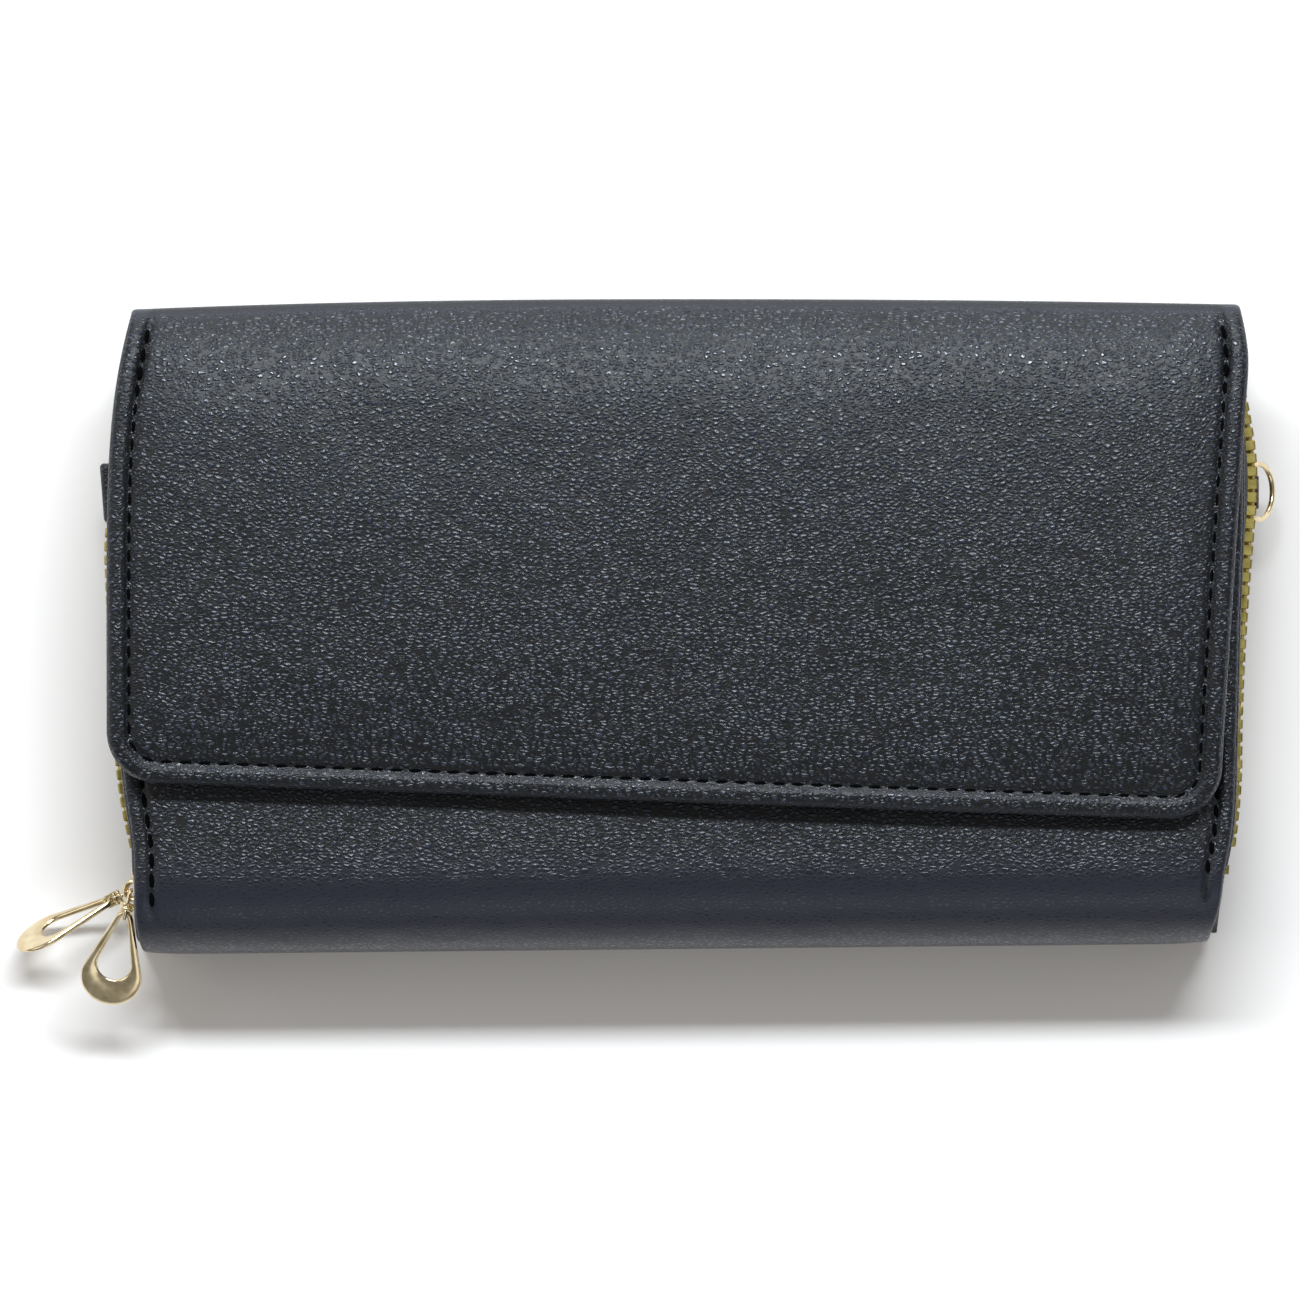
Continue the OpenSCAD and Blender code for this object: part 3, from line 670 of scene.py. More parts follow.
def makeFlapStitches():
    inset = flapSet["stitchIn"]
    r = flapSet["cornerR"] - inset
    yTop = 53.5
    yl = np.linspace(yTop, flapSet["lowLeftY"] + inset + r, 60)
    yr = np.linspace(flapSet["lowRightY"] + inset + r, yTop, 60)
    leftSide = np.stack([flapLeft(yl) + inset, yl], -1)
    rightSide = np.stack([flapRight(yr) - inset, yr], -1)
    a = np.linspace(np.pi, 1.5 * np.pi, 16)
    cl = np.array([leftSide[-1, 0] + r, yl[-1]])
    cr = np.array([rightSide[0, 0] - r, yr[0]])
    leftCorner = cl + r * np.stack([np.cos(a), np.sin(a)], -1)
    rightCorner = cr + r * np.stack([-np.cos(a[::-1]), np.sin(a[::-1])], -1)
    path = np.vstack([leftSide, leftCorner[1:], rightCorner, rightSide[1:]])
    total = pathLength(path)
    places = np.arange(1.5, total - 1.5, flapSet["stitchPitch"])
    flatAt, flatAhead = alongPath(path, places)
    z = flapTopZ(flatAt[:, 0], flatAt[:, 1]) + 0.1
    at = np.column_stack([flatAt, z])
    rise = flapTopZ(*(flatAt + 0.5 * flatAhead).T) - flapTopZ(*(flatAt - 0.5 * flatAhead).T)
    ahead = unit(np.column_stack([flatAhead, rise]))
    side = np.column_stack([-flatAhead[:, 1], flatAhead[:, 0], np.zeros(len(at))])
    up = np.cross(ahead, side)
    up *= np.sign(up[:, 2:3])
    stitchRow("flap_stitches", at, ahead, up, "flap", ["flap_stitching"])


makeFlap()
makeFlapStitches()
print("flap made")


bodySet = {
    "thick": 1.2, "stitchIn": 3.1, "stitchPitch": 3.35,
    "turnR": 13.0, "bulge": 0.8,
    "stitchTop": 40.0, "stitchLow": -47.5,
}
t2 = bodySet["thick"] / 2
frontZ = wallet["pocketTop"] - t2
frontFlat = wallet["pocketTopY"] - (wallet["foldY"] + t2 + bodySet["turnR"])
turnLength = bodySet["turnR"] * np.pi / 2
downLength = frontZ - bodySet["turnR"] - wallet["seamZ"]
frontS, frontY, frontProfileZ = turningProfile(
    [180, 180, 270, 270],
    [0, frontFlat, frontFlat + turnLength, frontFlat + turnLength + downLength],
    (wallet["pocketTopY"], frontZ))


def frontSurface(x, s):
    # the flat front swells a little, its sides fall, and over the fold its corners pull in
    y = np.interp(s, frontS, frontY)
    z = np.interp(s, frontS, frontProfileZ)
    over = np.interp(s, [frontFlat, frontFlat + turnLength], [0, 1])
    half = np.where(x < 0, leafLeft(y), leafRight(y)) - 0.4
    side = np.clip((np.abs(x) - (half - 12)) / 12, 0, 1)
    swell = (bodySet["bulge"] * np.cos(np.clip(x / half, -1, 1) * np.pi / 2)
             * ease((s - 30) / 40) * (1 - ease(over)))
    return np.stack([x, y + 0.5 * side ** 3 * over, z + swell - 0.8 * side ** 2 * (1 - over)], -1)


def makeFront():
    yAt = lambda s: np.interp(s, frontS, frontY)
    narrow = lambda s: 0.4 + 0.25 * ease((frontZ - np.interp(s, frontS, frontProfileZ)) / 14)
    left = lambda s: -leafLeft(yAt(s)) + narrow(s)
    right = lambda s: leafRight(yAt(s)) - narrow(s)
    x, s, edge = panelGrid(left, right, level(0), level(frontS[-1]), band=8.0,
                           fineCount=20, step=2.2, rowStep=1.6)
    dx = np.minimum(x - left(s), right(s) - x)
    sewn = ease((frontFlat + 7 - s) / 2)
    relief = (0.3 * bump(dx, 1.5, 1.2, 4) - 0.5 * bump(dx, bodySet["stitchIn"], 0.6)) * sewn
    hem = 0.25 * bump(s, 1.8, 1.5, 4)
    # painted light on the front: seam paints shade along the stitch grooves up the sides, and stretch paints
    # a sheen over the bottom fold as it flattens the grain
    obj = sheetShell("front_leather", frontSurface(x, s), edge, bodySet["thick"], navyLeather,
                     relief=relief + hem, stretch=0.9 * ease((s - frontFlat + 6) / 12),
                     seam=0.75 * bump(dx, bodySet["stitchIn"], 0.5) * sewn)
    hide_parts("pocket_panel", "pocket_welt", "front_fold", "middle_fold_front")
    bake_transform(obj)


def makeFrontStitches():
    zAt = lambda x, y: frontSurface(x, np.interp(-y, -frontY, frontS))[:, 2]
    rows, ways = [], []
    for half, side, shorter in ((leafLeft, -1, 0), (leafRight, 1, 4.5)):
        y = np.arange(bodySet["stitchLow"] + shorter, bodySet["stitchTop"], bodySet["stitchPitch"])
        x = side * (half(y) - 0.4 - bodySet["stitchIn"])
        rows.append(np.column_stack([x, y, zAt(x, y) + t2 - 0.25]))
        ways.append(np.column_stack([0 * y, 1 + 0 * y, zAt(x, y + 0.5) - zAt(x, y - 0.5)]))
    at, ahead = np.vstack(rows), unit(np.vstack(ways))
    up = np.cross([1.0, 0.0, 0.0], ahead)
    stitchRow("pocket_stitches", at, ahead, up, "front_leaf", ["pocket_stitching"])


def makeBack():
    # the back leather lies flat, turns up round the bottom fold and ends at the middle leaf's seam
    r = 8.0
    flat = wallet["leafTopY"] - (wallet["foldY"] + 0.8 + r)
    rise = wallet["seamZ"] - 0.8 - r
    turned = flat + r * np.pi / 2
    s0, y0, z0 = turningProfile([180, 180, 90, 90], [0, flat, turned, turned + rise],
                                (wallet["leafTopY"], 0.8))
    yAt = lambda s: np.interp(s, s0, y0)
    zAt = lambda s: np.interp(s, s0, z0)
    narrow = lambda s: 0.2 + 0.45 * ease((zAt(s) - 1) / 12)
    x, s, edge = panelGrid(lambda s: -leafLeft(yAt(s)) + narrow(s), lambda s: leafRight(yAt(s)) - narrow(s),
                           level(0), level(s0[-1]),
                           lowR=9.0, band=9.0, fineCount=18, step=2.6, rowStep=1.8)
    over = ease((s - flat) / (r * np.pi / 2))
    side = np.clip((np.abs(x) - 82) / 12, 0, 1)
    p = np.stack([x, yAt(s) + 0.5 * side ** 3 * over, zAt(s)], -1)
    obj = sheetShell("back_leather", p, edge, 1.6, navyLeather, facing=(0, 0, -1))
    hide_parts("back_cover", "back_fold", "middle_fold_rear")
    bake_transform(obj)


makeFront()
makeFrontStitches()
makeBack()
print("outer leather made")


leafSheet("back_lining_cloth", wallet["backTop"] + 0.35, 0.7, liningCloth, inset=1.4, fromY=-49.0,
          nodes=["back_lining"], body="back_leaf")
leafSheet("middle_panel", (wallet["middleLow"] + wallet["middleTop"]) / 2, 2.3, liningCloth, fromY=-55.4,
          nodes=["middle_board", "middle_lining_rear", "middle_lining_front"], body="middle_leaf")
leafSheet("front_lining_cloth", wallet["frontLow"] + 0.4, 0.7, liningCloth, inset=1.4, fromY=-44.0,
          nodes=["front_lining"], body="front_leaf")
leafSheet("front_cover_leather", (wallet["coverLow"] + wallet["coverTop"]) / 2, 1.6, navyLeather,
          fromY=-44.0, nodes=["front_cover"], body="front_leaf")

cardSet = {"rows": 4, "step": 9.0, "thick": 0.6}


def makeCardSlots(node, body, facing):
    # stepped pockets in two columns, each with a folded hem along its mouth
    lo, hi = low(node), high(node)
    half = (hi[0] - lo[0]) / 2 - 1
    parts = []
    for side in (-1, 1):
        for i in range(cardSet["rows"]):
            top = hi[1] - i * cardSet["step"]
            x0 = side * (half / 2 + 1) - half / 2
            z = (lo[2] if facing > 0 else hi[2]) + facing * (i + 0.5) * cardSet["thick"]
            x, y, edge = panelGrid(level(x0), level(x0 + half),
                                   level(lo[1]), level(top), lowR=1.5, topR=3.0,
                                   band=4.0, fineCount=9, step=8.0, rowStep=6.0)
            p = np.stack([x, y, z + 0 * x], -1)
            hem = 0.12 * bump(top - y, 1.6, 1.3, 4) - 0.1 * bump(top - y, 3.4, 0.4)
            parts.append(sheetShell("slot", p, edge, cardSet["thick"] * 0.94, slotLeather, relief=hem,
                                    facing=(0, 0, facing)))
    bpy.ops.object.select_all(action="DESELECT")
    for obj in parts:
        obj.select_set(True)
    bpy.context.view_layer.objects.active = parts[0]
    bpy.ops.object.join()
    joined = bpy.context.view_layer.objects.active
    joined.name = node + "_leather"
    assignPiece(joined, body, [node])


makeCardSlots("rear_card_slots", "back_leaf", 1)
makeCardSlots("front_card_slots", "front_leaf", -1)
print("leaves made")


zipSet = {
    "pitch": 2.35, "tapeIn": 1.1, "sewnIn": 1.0, "tapeThick": 0.6,
    "proud": {"rear_teeth_lower": 0.75, "rear_teeth_upper": 0.75,
              "front_teeth_lower": 0.8, "front_teeth_upper": 1.15},
    "tapeEndY": -55.0,
}


def tapeEdgeZ(y, z):
    # keeps a tape's sewn edge inside the rounded bottom fold
    frontLimit = np.interp(-y, -frontY[frontY < -30], frontProfileZ[frontY < -30]) - 1.0
    backLimit = 1.8 + np.clip((-47 - y) / 8, 0, 1) ** 2 * 5.5
    return np.clip(z, backLimit, np.where(y < -41, frontLimit, 99))


def makeTape(node, body, leafZ, midZ):
    # a strip that stands along the zip line, bowed outwards between its sewn edge and its teeth
    path = zipOutline(zipSet["tapeIn"], zipSet["tapeEndY"])
    sewnPath = zipOutline(zipSet["sewnIn"], zipSet["tapeEndY"], sewnLeft, sewnRight)
    total = pathLength(path)
    sewnTotal = pathLength(sewnPath)
    places = np.concatenate([np.linspace(0, 2, 8), np.linspace(2, total - 2, 230)[1:-1],
                             np.linspace(total - 2, total, 8)])
    at, ahead = alongPath(path, places)
    sewnAt = alongPath(sewnPath, places * sewnTotal / total)[0]
    out = np.stack([-ahead[:, 1], ahead[:, 0]], -1)
    toothEdge = midZ + (0.9 if leafZ > midZ else -0.9)
    v = np.concatenate([np.linspace(0, 0.12, 5), np.linspace(0.12, 0.88, 9)[1:-1], np.linspace(0.88, 1, 5)])
    sewn = tapeEdgeZ(at[:, 1], np.full(len(at), leafZ + (0.5 if leafZ > midZ else -0.5)))
    z = sewn[:, None] * (1 - v) + toothEdge * v
    bow = 0.4 * np.sin(np.pi * v)[None, :]
    across = 1 - (1 - v) ** 2
    flat = sewnAt[:, None] * (1 - across)[None, :, None] + at[:, None] * across[None, :, None]
    p = np.concatenate([flat + out[:, None] * bow[..., None], z[..., None]], -1)
    d = np.minimum(places, total - places)[:, None]
    edge = np.minimum(d, np.minimum(v, 1 - v)[None, :] * np.abs(leafZ - toothEdge))
    closeEdge(edge)
    facing = np.stack([out[:, :1] + 0 * z, out[:, 1:] + 0 * z, 0 * z], -1)
    obj = sheetShell(node + "_cloth", p, edge, zipSet["tapeThick"], tapeCloth, facing=facing)
    assignPiece(obj, body, [node])


def toothShape(deep):
    # rectangles with cut corners stacked across the zip: foot, body, shoulder and the narrower head
    levels = np.array([2.35, 2.2, 0.75, 0.55, 0.1, -0.35, -0.5])
    longHalf = np.array([0.8, 0.93, 0.93, 0.72, 0.5, 0.5, 0.36])
    outReach = np.array([0.8, 1.0, 1.0, 0.8, 0.66, 0.66, 0.45])
    ring = np.array([[1, -0.76], [1, 0.76], [0.8, 1], [-0.8, 1],
                     [-1, 0.76], [-1, -0.76], [-0.8, -1], [0.8, -1]])
    x = longHalf[:, None] * ring[None, :, 0]
    n = deep / 2 * outReach[:, None] * ring[None, :, 1]
    z = np.repeat(levels[:, None], 8, 1)
    p = np.stack([x, n, z], -1).reshape(-1, 3)
    index = np.arange(56).reshape(7, 8)
    cap = np.array([[0, 1, 2, 7], [2, 3, 6, 7], [3, 4, 5, 6]])
    return p, np.vstack([quadFaces(index, wrapV=True)[:, ::-1], cap, cap[:, ::-1] + 48])


def makeTeeth(node, body, midZ, up, first):
    path = zipOutline(0.0, wallet["zipStartY"])
    total = pathLength(path)
    at, ahead = alongPath(path, np.arange(first, total - 0.8, zipSet["pitch"]))
    out = np.stack([-ahead[:, 1], ahead[:, 0]], -1)
    proud = zipSet["proud"][node]
    deep = proud + 1.45
    centre = at + out * (proud - deep / 2)
    base, faces = toothShape(deep)
    zero = np.zeros(len(at))
    ax = np.column_stack([ahead, zero])
    ay = np.column_stack([out, zero])
    az = np.tile([0.0, 0.0, float(up)], (len(at), 1))
    faces = faces if up > 0 else faces[:, ::-1]
    p, f = scatter(base, faces, np.column_stack([centre, zero + midZ]), ax, ay, az)
    obj = addObject(node + "_brass", p, f, toothBrass, smooth=False)
    assignPiece(obj, body, [node])


halfPitch = zipSet["pitch"] / 2
for zipName, lowBody, upBody, lowZ, upZ in (
        ("rear", "back_leaf", "middle_leaf", wallet["backTop"] + 0.7, wallet["middleLow"]),
        ("front", "middle_leaf", "front_leaf", wallet["middleTop"], wallet["frontLow"])):
    midZ = wallet[zipName + "Mid"]
    makeTape(zipName + "_tape_lower", lowBody, lowZ, midZ)
    makeTape(zipName + "_tape_upper", upBody, upZ, midZ)
    makeTeeth(zipName + "_teeth_lower", lowBody, midZ, -1, halfPitch)
    makeTeeth(zipName + "_teeth_upper", upBody, midZ, 1, 2 * halfPitch)
print("zips made")


hardware = {
    "sliderLong": 9.0, "sliderHigh": 7.2, "plate": 0.9, "plateOut": 2.1, "plateIn": 1.8,
    "crownR": 1.6, "crownWire": 0.42,
    "pinOut": 2.65, "blockFrom": 2.3, "blockLong": 0.7, "barAt": 2.1,
    "pullLong": 17.7, "pullR": 5.4, "pullThick": 1.1, "holeR": 3.0, "solid": 5.1, "rim": 0.9, "barR": 0.45,
    "rearDir": 206.0, "rearBend": 6.0, "rearRoll": 66.0,
    "frontDir": 257.0, "frontBend": 28.0, "frontRoll": 0.0,
}
lean = np.degrees(np.arctan((wallet["zipWide"] - wallet["zipLeft"]) / (22.05 - wallet["foldY"])))


def turn(axis, degrees):
    # the matrix that turns about one of the three axes
    c, s = np.cos(np.radians(degrees)), np.sin(np.radians(degrees))
    return {"x": np.array([[1, 0, 0], [0, c, -s], [0, s, c]]),
            "y": np.array([[c, 0, s], [0, 1, 0], [-s, 0, c]]),
            "z": np.array([[c, -s, 0], [s, c, 0], [0, 0, 1]])}[axis]


def sliderPlace(p, midZ):
    y = wallet["foldY"] + 10.5
    x = -(wallet["zipLeft"] + (wallet["zipWide"] - wallet["zipLeft"]) * 10.5 / (22.05 - wallet["foldY"]))
    return p @ turn("z", lean).T + np.array([x, y, midZ])


def linkPlace(p, midZ, direction):
    return sliderPlace(p @ turn("z", direction - lean).T + np.array([-hardware["pinOut"], 0, 0]), midZ)


def pullPlace(p, midZ, direction, bend, roll):
    q = (p + np.array([hardware["barAt"], 0, 0])) @ (turn("y", bend) @ turn("x", roll)).T
    return linkPlace(q + np.array([hardware["blockFrom"] + hardware["blockLong"], 0, 0]), midZ, direction)


def roundedSlab(length, width, thick, waist=0.0):
    # a slab with a rounded rectangular outline in y and z, pinched at its middle, thin along x
    sides, power, bevel = 40, 0.38, 0.28
    a = circle(sides)
    oy = signedPower(np.cos(a), power) * length / 2
    oz = signedPower(np.sin(a), power) * width / 2
    oz = oz * (1 - waist * np.exp(-(oy / (length * 0.28)) ** 2))
    # rings across the slab: x, scale and how far the corner is cut back
    half = thick / 2
    near = [(-half, 0.0, 0.0), (-half, 0.55, 0.0), (-half, 1.0, bevel), (-half + bevel, 1.0, 0.0)]
    rings = near + [(-x, scale, cut) for x, scale, cut in near[::-1]]
    cutBack = lambda v, scale, cut: v * scale - np.sign(v) * cut
    p = np.vstack([np.stack([np.full(sides, x), cutBack(oy, scale, cut), cutBack(oz, scale, cut)], -1)
                   for x, scale, cut in rings])
    index = gridIndex(len(rings), sides)
    return p, quadFaces(index, wrapV=True).tolist()


def makeSlider(node, midZ):
    # two waisted plates with a neck between them and a round crown on the outside
    h = hardware
    outer, f1 = roundedSlab(h["sliderLong"], h["sliderHigh"], h["plate"], waist=0.18)
    inner, f2 = roundedSlab(h["sliderLong"], h["sliderHigh"], h["plate"], waist=0.18)
    outer = outer + np.array([-h["plateOut"] + h["plate"] / 2, 0, 0])
    inner = inner + np.array([h["plateIn"] + h["plate"] / 2, 0, 0])
    a = np.linspace(-0.08, np.pi + 0.08, 22)
    crown = np.stack([-h["plateOut"] - h["crownR"] * np.sin(a), h["crownR"] * np.cos(a), 0 * a], -1)
    neck = np.array([[-h["plateOut"] + 0.4, -3.2, 0], [h["plateIn"] + 0.4, -3.2, 0]])
    parts = [(outer, f1), (inner, f2), tubeSkin(crown, h["crownWire"], (0, 0, 1), sides=12, flat=1.6),
             tubeSkin(neck, 0.38, (0, 0, 1), sides=10, flat=0.9)]
    p, f = join(parts)
    obj = addMetal(node + "_metal", sliderPlace(p, midZ), f)
    finishMetal(obj, node)


def addMetal(name, p, f):
    return addObject(name, p, f, paleGold, soft=False)


def finishMetal(obj, node, body=None):
    # doubled points are merged, normals made to point outwards, and the piece rides as its node does
    bpy.context.view_layer.objects.active = obj
    bpy.ops.object.select_all(action="DESELECT")
    obj.select_set(True)
    bpy.ops.object.mode_set(mode="EDIT")
    bpy.ops.mesh.select_all(action="SELECT")
    bpy.ops.mesh.remove_doubles(threshold=0.000004)
    bpy.ops.mesh.normals_make_consistent(inside=False)
    bpy.ops.object.mode_set(mode="OBJECT")
    assignPiece(obj, body or node, [node])


def barrel(fromX, length, radius, ridges):
    # a turned barrel along x with round ridges: its radius follows a rectified wave
    x = np.linspace(0, 1, 9 * ridges)
    r = radius * (0.76 + 0.24 * np.abs(np.sin(np.pi * ridges * x)) ** 0.7)
    x = np.concatenate([[0], x, [1]]) * length + fromX
    r = np.concatenate([[0.05], r, [0.05]])
    path = np.stack([x, 0 * x, 0 * x], -1)
    a = circle(20)
    p = path[:, None] + r[:, None, None] * np.stack([0 * a, np.cos(a), np.sin(a)], -1)[None]
    index = gridIndex(len(x), 20)
    return p.reshape(-1, 3), quadFaces(index, wrapV=True).tolist()


def stirrup(reach, gap, wire):
    # a wire bent into a U round a cross pin, with its two ends at x = 0
    a = np.linspace(0, np.pi, 15)
    c = min(gap, reach) * 0.45
    legs = np.linspace(0, -(reach - c), 6)
    arc1 = np.stack([-(reach - c) - c * np.sin(a[:8]), 0 * a[:8], gap - c + c * np.cos(a[:8])], -1)
    up = np.stack([legs, 0 * legs, 0 * legs + gap], -1)
    down = up[::-1] * np.array([1, 1, -1])
    arc2 = arc1[::-1] * np.array([1, 1, -1])
    path = np.vstack([up, arc1[1:], arc2, down[1:]])
    return tubeSkin(path, wire, (0, 1, 0), sides=10)


def makeLink(node, midZ, direction, bend, roll):
    h = hardware
    inner = stirrup(h["blockFrom"] + 0.25, 1.15, 0.36)
    p1 = inner[0] + np.array([h["blockFrom"] + 0.25, 0, 0])
    ridged = barrel(h["blockFrom"] - 0.15, 1.45, 1.3, 2)
    front = [(linkPlace(p1, midZ, direction), inner[1]), (linkPlace(ridged[0], midZ, direction), ridged[1])]
    outer = stirrup(h["barAt"] + 0.1, 0.95, 0.36)
    p2 = outer[0] * np.array([-1, 1, 1]) - np.array([h["barAt"] + 0.1, 0, 0])
    parts = front + [(pullPlace(p2, midZ, direction, bend, roll), outer[1])]
    p, f = join(parts)
    finishMetal(addMetal(node + "_metal", p, f), node)


def teardropOutline(smallR, largeR, d, count):
    # evenly parametrised outline round a small circle at the origin and a large one at x = d
    t = np.pi / 2 + np.arcsin((largeR - smallR) / d)
    big = np.linspace(-t, t, count)
    small = np.linspace(t, 2 * np.pi - t, count // 2)
    p = np.vstack([np.stack([d + largeR * np.cos(big), largeR * np.sin(big)], -1),
                   np.stack([smallR * np.cos(small), smallR * np.sin(small)], -1)])
    closed = np.vstack([p, p[:1]])
    dist = distances(closed)
    even = np.linspace(0, dist[-1], 140, endpoint=False)
    return np.stack([np.interp(even, dist, closed[:, k]) for k in (0, 1)], -1)


def makePull(node, midZ, direction, bend, roll):
    # the band between an outer and an inner drop, domed across like a flattened ring
    h = hardware
    outer = teardropOutline(h["barR"] + 0.1 + h["rim"], h["pullR"], h["pullLong"] - h["pullR"], 60)
    inner = teardropOutline(h["barR"] + 0.1, h["holeR"], h["pullLong"] - h["solid"] - h["holeR"], 60)
    angle = np.arctan2(inner[:, 1], inner[:, 0] - 5)
    outerAngle = np.arctan2(outer[:, 1], outer[:, 0] - 5)
    order = np.argsort(angle)
    outerOrder = np.argsort(outerAngle)
    ring = np.linspace(-np.pi, np.pi, 140, endpoint=False)
    wrap = lambda a, v: np.interp(ring, np.concatenate([a - 2 * np.pi, a, a + 2 * np.pi]), np.tile(v, 3))
    innerRing = np.stack([wrap(angle[order], inner[order, k]) for k in (0, 1)], -1)
    outerRing = np.stack([wrap(outerAngle[outerOrder], outer[outerOrder, k]) for k in (0, 1)], -1)
    a = circle(22)
    across = signedPower(np.cos(a), 0.85)
    height = signedPower(np.sin(a), 0.8) * h["pullThick"] / 2
    centre = (innerRing + outerRing) / 2
    reach = (outerRing - innerRing) / 2
    flat = centre[:, None] + reach[:, None] * across[None, :, None]
    p = np.concatenate([flat, np.broadcast_to(height[None, :, None], (140, 22, 1))], -1)
    index = gridIndex(140, 22)
    obj = addMetal(node + "_metal", pullPlace(p.reshape(-1, 3), midZ, direction, bend, roll),
                   quadFaces(index, wrapU=True, wrapV=True))
    finishMetal(obj, node)


for which, midZ in (("rear", wallet["rearMid"]), ("front", wallet["frontMid"])):
    way = (hardware[which + "Dir"], hardware[which + "Bend"], hardware[which + "Roll"])
    makeSlider(which + "_slider", midZ)
    makeLink(which + "_link", midZ, *way)
    makePull(which + "_pull", midZ, *way)
print("sliders and pulls made")


ringSet = {"bow": 4.85, "wire": 0.5, "leg": 2.8, "tilt": 60.0}
ringCentre = np.array([100.9, 23.45, (wallet["middleLow"] + wallet["middleTop"]) / 2])


def makeRing():
    # a D bent from round wire: a straight bar, two legs and a half circle, tilted about the bar
    r = ringSet
    a = np.linspace(-np.pi / 2, np.pi / 2, 40)
    bow = np.stack([r["leg"] + r["bow"] * np.cos(a), r["bow"] * np.sin(a)], -1)
    c = 0.7
    b = np.linspace(0, np.pi / 2, 6)
    topTurn = np.stack([c - c * np.sin(b), r["bow"] - c + c * np.cos(b)], -1)
    lowTurn = topTurn[::-1] * np.array([1, -1])
    legs = np.linspace(r["leg"], c, 8)[1:-1]
    topLeg = np.stack([legs, 0 * legs + r["bow"]], -1)
    bar = np.linspace(r["bow"] - c, -(r["bow"] - c), 20)[1:-1]
    barPoints = np.stack([0 * bar, bar], -1)
    lowLeg = topLeg[::-1] * np.array([1, -1])
    flat = np.vstack([bow, topLeg, topTurn, barPoints, lowTurn, lowLeg])
    path = np.column_stack([flat, np.zeros(len(flat))]) @ turn("y", r["tilt"]).T + ringCentre
    up = turn("y", r["tilt"]) @ np.array([0, 0, 1.0])
    p, f = tubeSkin(path, r["wire"], up, sides=14, closed=True)
    finishMetal(addMetal("d_ring_metal", p, f), "d_ring")


def makeLoop():
    # a leather strap that comes out of the leaf, goes round the ring's bar and back in
    a = np.linspace(np.pi / 2, -np.pi / 2, 16)
    r = 0.98
    arc = np.stack([ringCentre[0] + r * np.cos(a), ringCentre[2] + r * np.sin(a)], -1)
    x = np.linspace(93, ringCentre[0], 12)[:-1]
    settle = ease((x - 97.5) / 3)
    top = np.stack([x, ringCentre[2] + 0.4 + (r - 0.4) * settle], -1)
    lowSide = top[::-1] * np.array([1, -1]) + np.array([0, 2 * ringCentre[2]])
    profile = np.vstack([top, arc, lowSide])
    d = distances(profile)
    s = spread(d[-1], 1.0, 6, 0.5)
    y = spread(6.0, 0.8, 6, 0.6) - 3.0 + ringCentre[1]
    px, pz = np.interp(s, d, profile[:, 0]), np.interp(s, d, profile[:, 1])
    p = np.stack(np.broadcast_arrays(px[:, None], y[None], pz[:, None]), -1)
    edge = np.minimum(np.minimum(s, d[-1] - s)[:, None], np.minimum(y - y[0], y[-1] - y)[None])
    closeEdge(edge)
    facing = np.zeros_like(p)
    facing[..., 2] = np.where(np.arange(len(s)) < len(s) / 2, 1, -1)[:, None]
    facing[..., 0] = 0.3
    obj = sheetShell("ring_loop_leather", p, edge, 0.6, navyLeather, facing=facing)
    assignPiece(obj, "middle_leaf", ["ring_loop"])


def makeTab():
    # a small folded tab that tapers downwards, its outer edge rounded like a fold
    y0, y1 = low("side_tab")[1], high("side_tab")[1]
    outer = lambda y: low("side_tab")[0] + 0.8 * (y1 - y) / (y1 - y0)
    x, y, edge = panelGrid(outer, level(-94.0), level(y0), level(y1),
                           lowR=0.8, topR=0.8, band=2.0, fineCount=10, step=12, rowStep=0.8)
    p = np.stack([x, y, ringCentre[2] + 0 * x], -1)
    relief = -0.15 * bump(edge, 1.3, 0.25)
    obj = sheetShell("side_tab_leather", p, edge, 2.2, navyLeather, relief=relief)
    assignPiece(obj, "middle_leaf", ["side_tab"])


def makeSnap(node, body, facing):
    # a turned disc with a raised rim and a shallow dish
    lo, hi = low(node), high(node)
    r = np.array([0, 1.2, 2.2, 3.0, 4.4, 5.2, 5.8, 6.6, 6.95, 7.0, 6.95, 6.6, 0])
    z = np.array([0.35, 0.35, 0.5, 0.72, 0.72, 0.85, 1.0, 1.0, 0.85, 0.5, 0.1, 0, 0])
    z = z if facing > 0 else 1 - z
    a = circle(48)
    p = np.stack([np.outer(r, np.cos(a)) + (lo[0] + hi[0]) / 2, np.outer(r, np.sin(a)) + (lo[1] + hi[1]) / 2,
                  np.repeat(lo[2] + z[:, None], 48, 1)], -1).reshape(-1, 3)
    index = gridIndex(len(r), 48)
    obj = addObject(node + "_metal", p, quadFaces(index, wrapV=True), snapNickel, soft=False)
    finishMetal(obj, node, body)


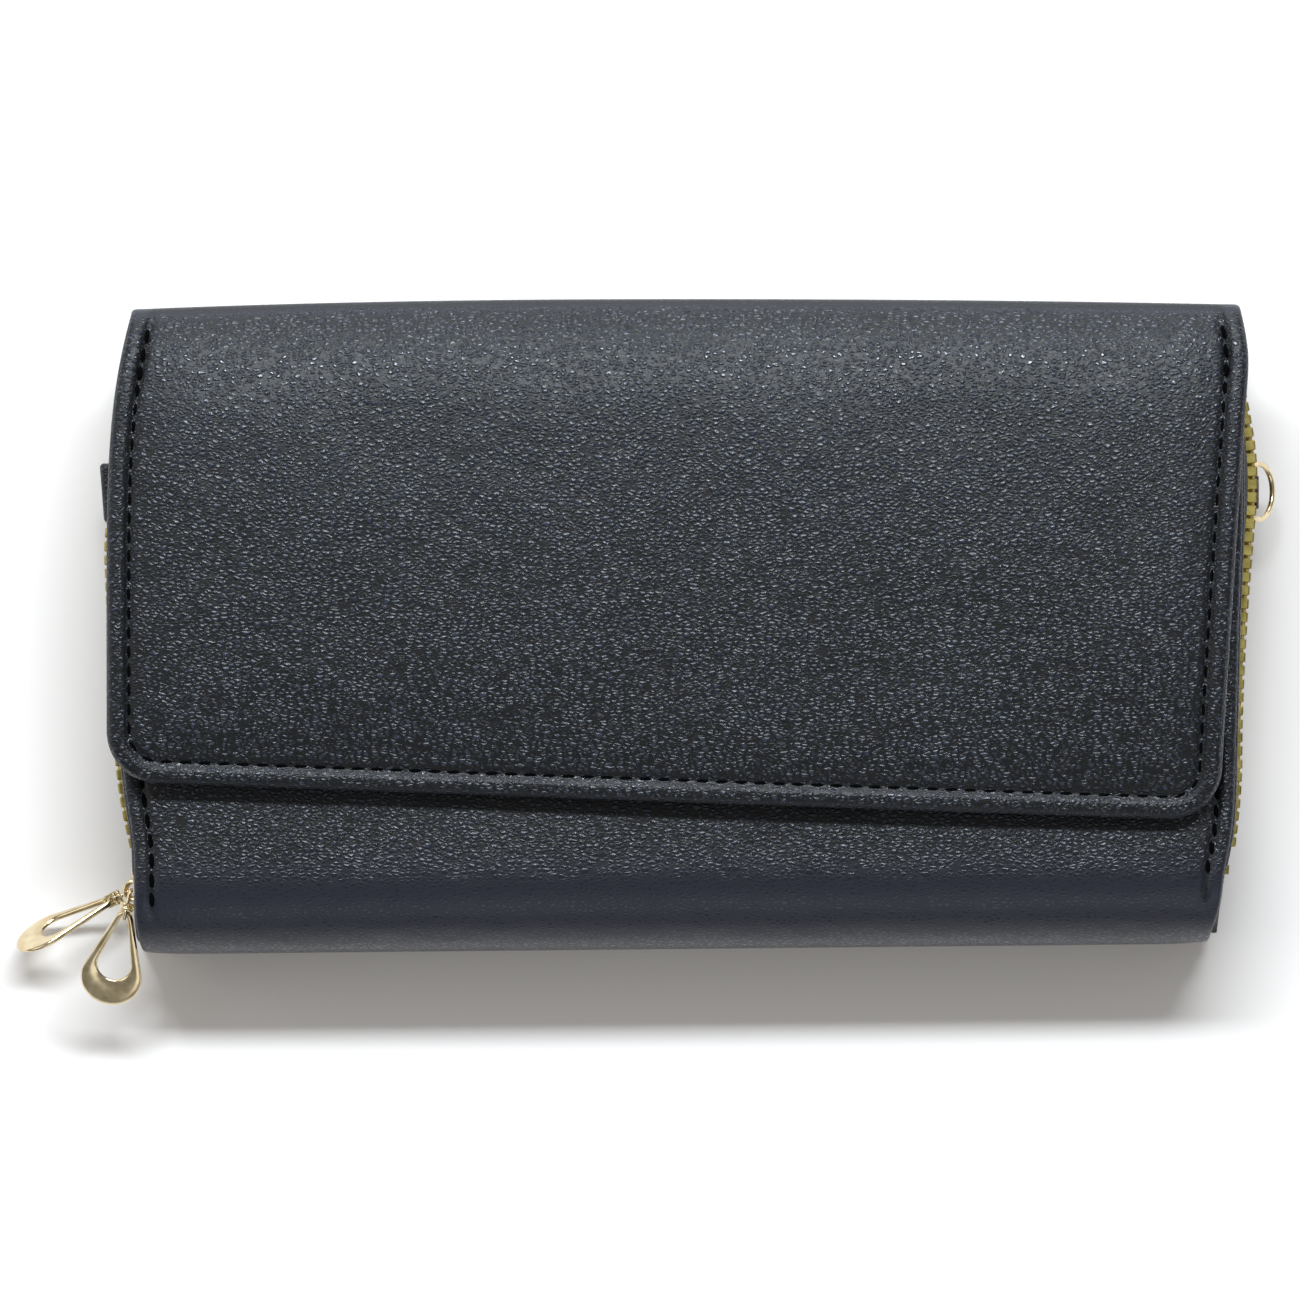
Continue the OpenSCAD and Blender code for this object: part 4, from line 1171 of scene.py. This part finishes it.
makeRing()
makeLoop()
makeTab()
makeSnap("pocket_snap", "front_leaf", 1)
makeSnap("flap_snap", "flap", -1)
for node in ("rear_zip_stops", "front_zip_stops"):
    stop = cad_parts[node]
    stop.data.materials.clear()
    stop.data.materials.append(toothBrass)
print("small parts made")


def makeStage():
    material, _, shader = newMaterial("pale_floor", 0.9)
    shader.inputs["Base Color"].default_value = (0.98, 0.94, 0.90, 1)
    size = 1500.0
    p = np.array([[-size, -size, -0.05], [size, -size, -0.05], [size, size, -0.05], [-size, size, -0.05]])
    floor = addObject("floor", p, [[0, 1, 2, 3]], material, smooth=False)


def addLight(name, place, target, size, power, sizeY=None, colour=(1, 1, 1)):
    data = bpy.data.lights.new(name, "AREA")
    data.shape = "RECTANGLE"
    data.size = size
    data.size_y = sizeY or size
    data.energy = power
    data.color = colour
    obj = bpy.data.objects.new(name, data)
    bpy.context.scene.collection.objects.link(obj)
    obj.location = place
    obj.rotation_euler = (Vector(target) - Vector(place)).to_track_quat("-Z", "Y").to_euler()


def makeLight():
    world = bpy.data.worlds.new("studio")
    bpy.context.scene.world = world
    world.use_nodes = True
    background = world.node_tree.nodes["Background"]
    background.inputs["Color"].default_value = (1, 1, 1, 1)
    background.inputs["Strength"].default_value = 0.24
    addLight("top_box", (0.02, 0.62, 1.12), (0, 0.0, 0.02), 0.9, 17.5, sizeY=0.14, colour=(0.86, 0.93, 1.0))
    addLight("back_strip", (0.0, 1.0, 0.3), (0, 0.03, 0.03), 1.2, 6, sizeY=0.15, colour=(0.9, 0.93, 1.0))
    addLight("left_box", (-1.1, 0.1, 0.8), (0, 0, 0.02), 0.8, 3.0)
    addLight("low_box", (0.4, -1.2, 0.9), (0, 0, 0.02), 1.4, 2.6, sizeY=0.6)


def makeCamera():
    data = bpy.data.cameras.new("camera")
    data.sensor_width = 36.0
    data.lens = 720.0
    wide = 0.2277
    data.clip_end = 20
    camera = bpy.data.objects.new("camera", data)
    bpy.context.scene.collection.objects.link(camera)
    camera.location = (-0.0049, -0.0044, 0.036 + wide * data.lens / data.sensor_width)
    camera.rotation_euler = (0, 0, 0)
    bpy.context.scene.camera = camera


makeStage()
makeLight()
makeCamera()
bpy.context.scene.view_settings.view_transform = "Standard"
print("scene ready")
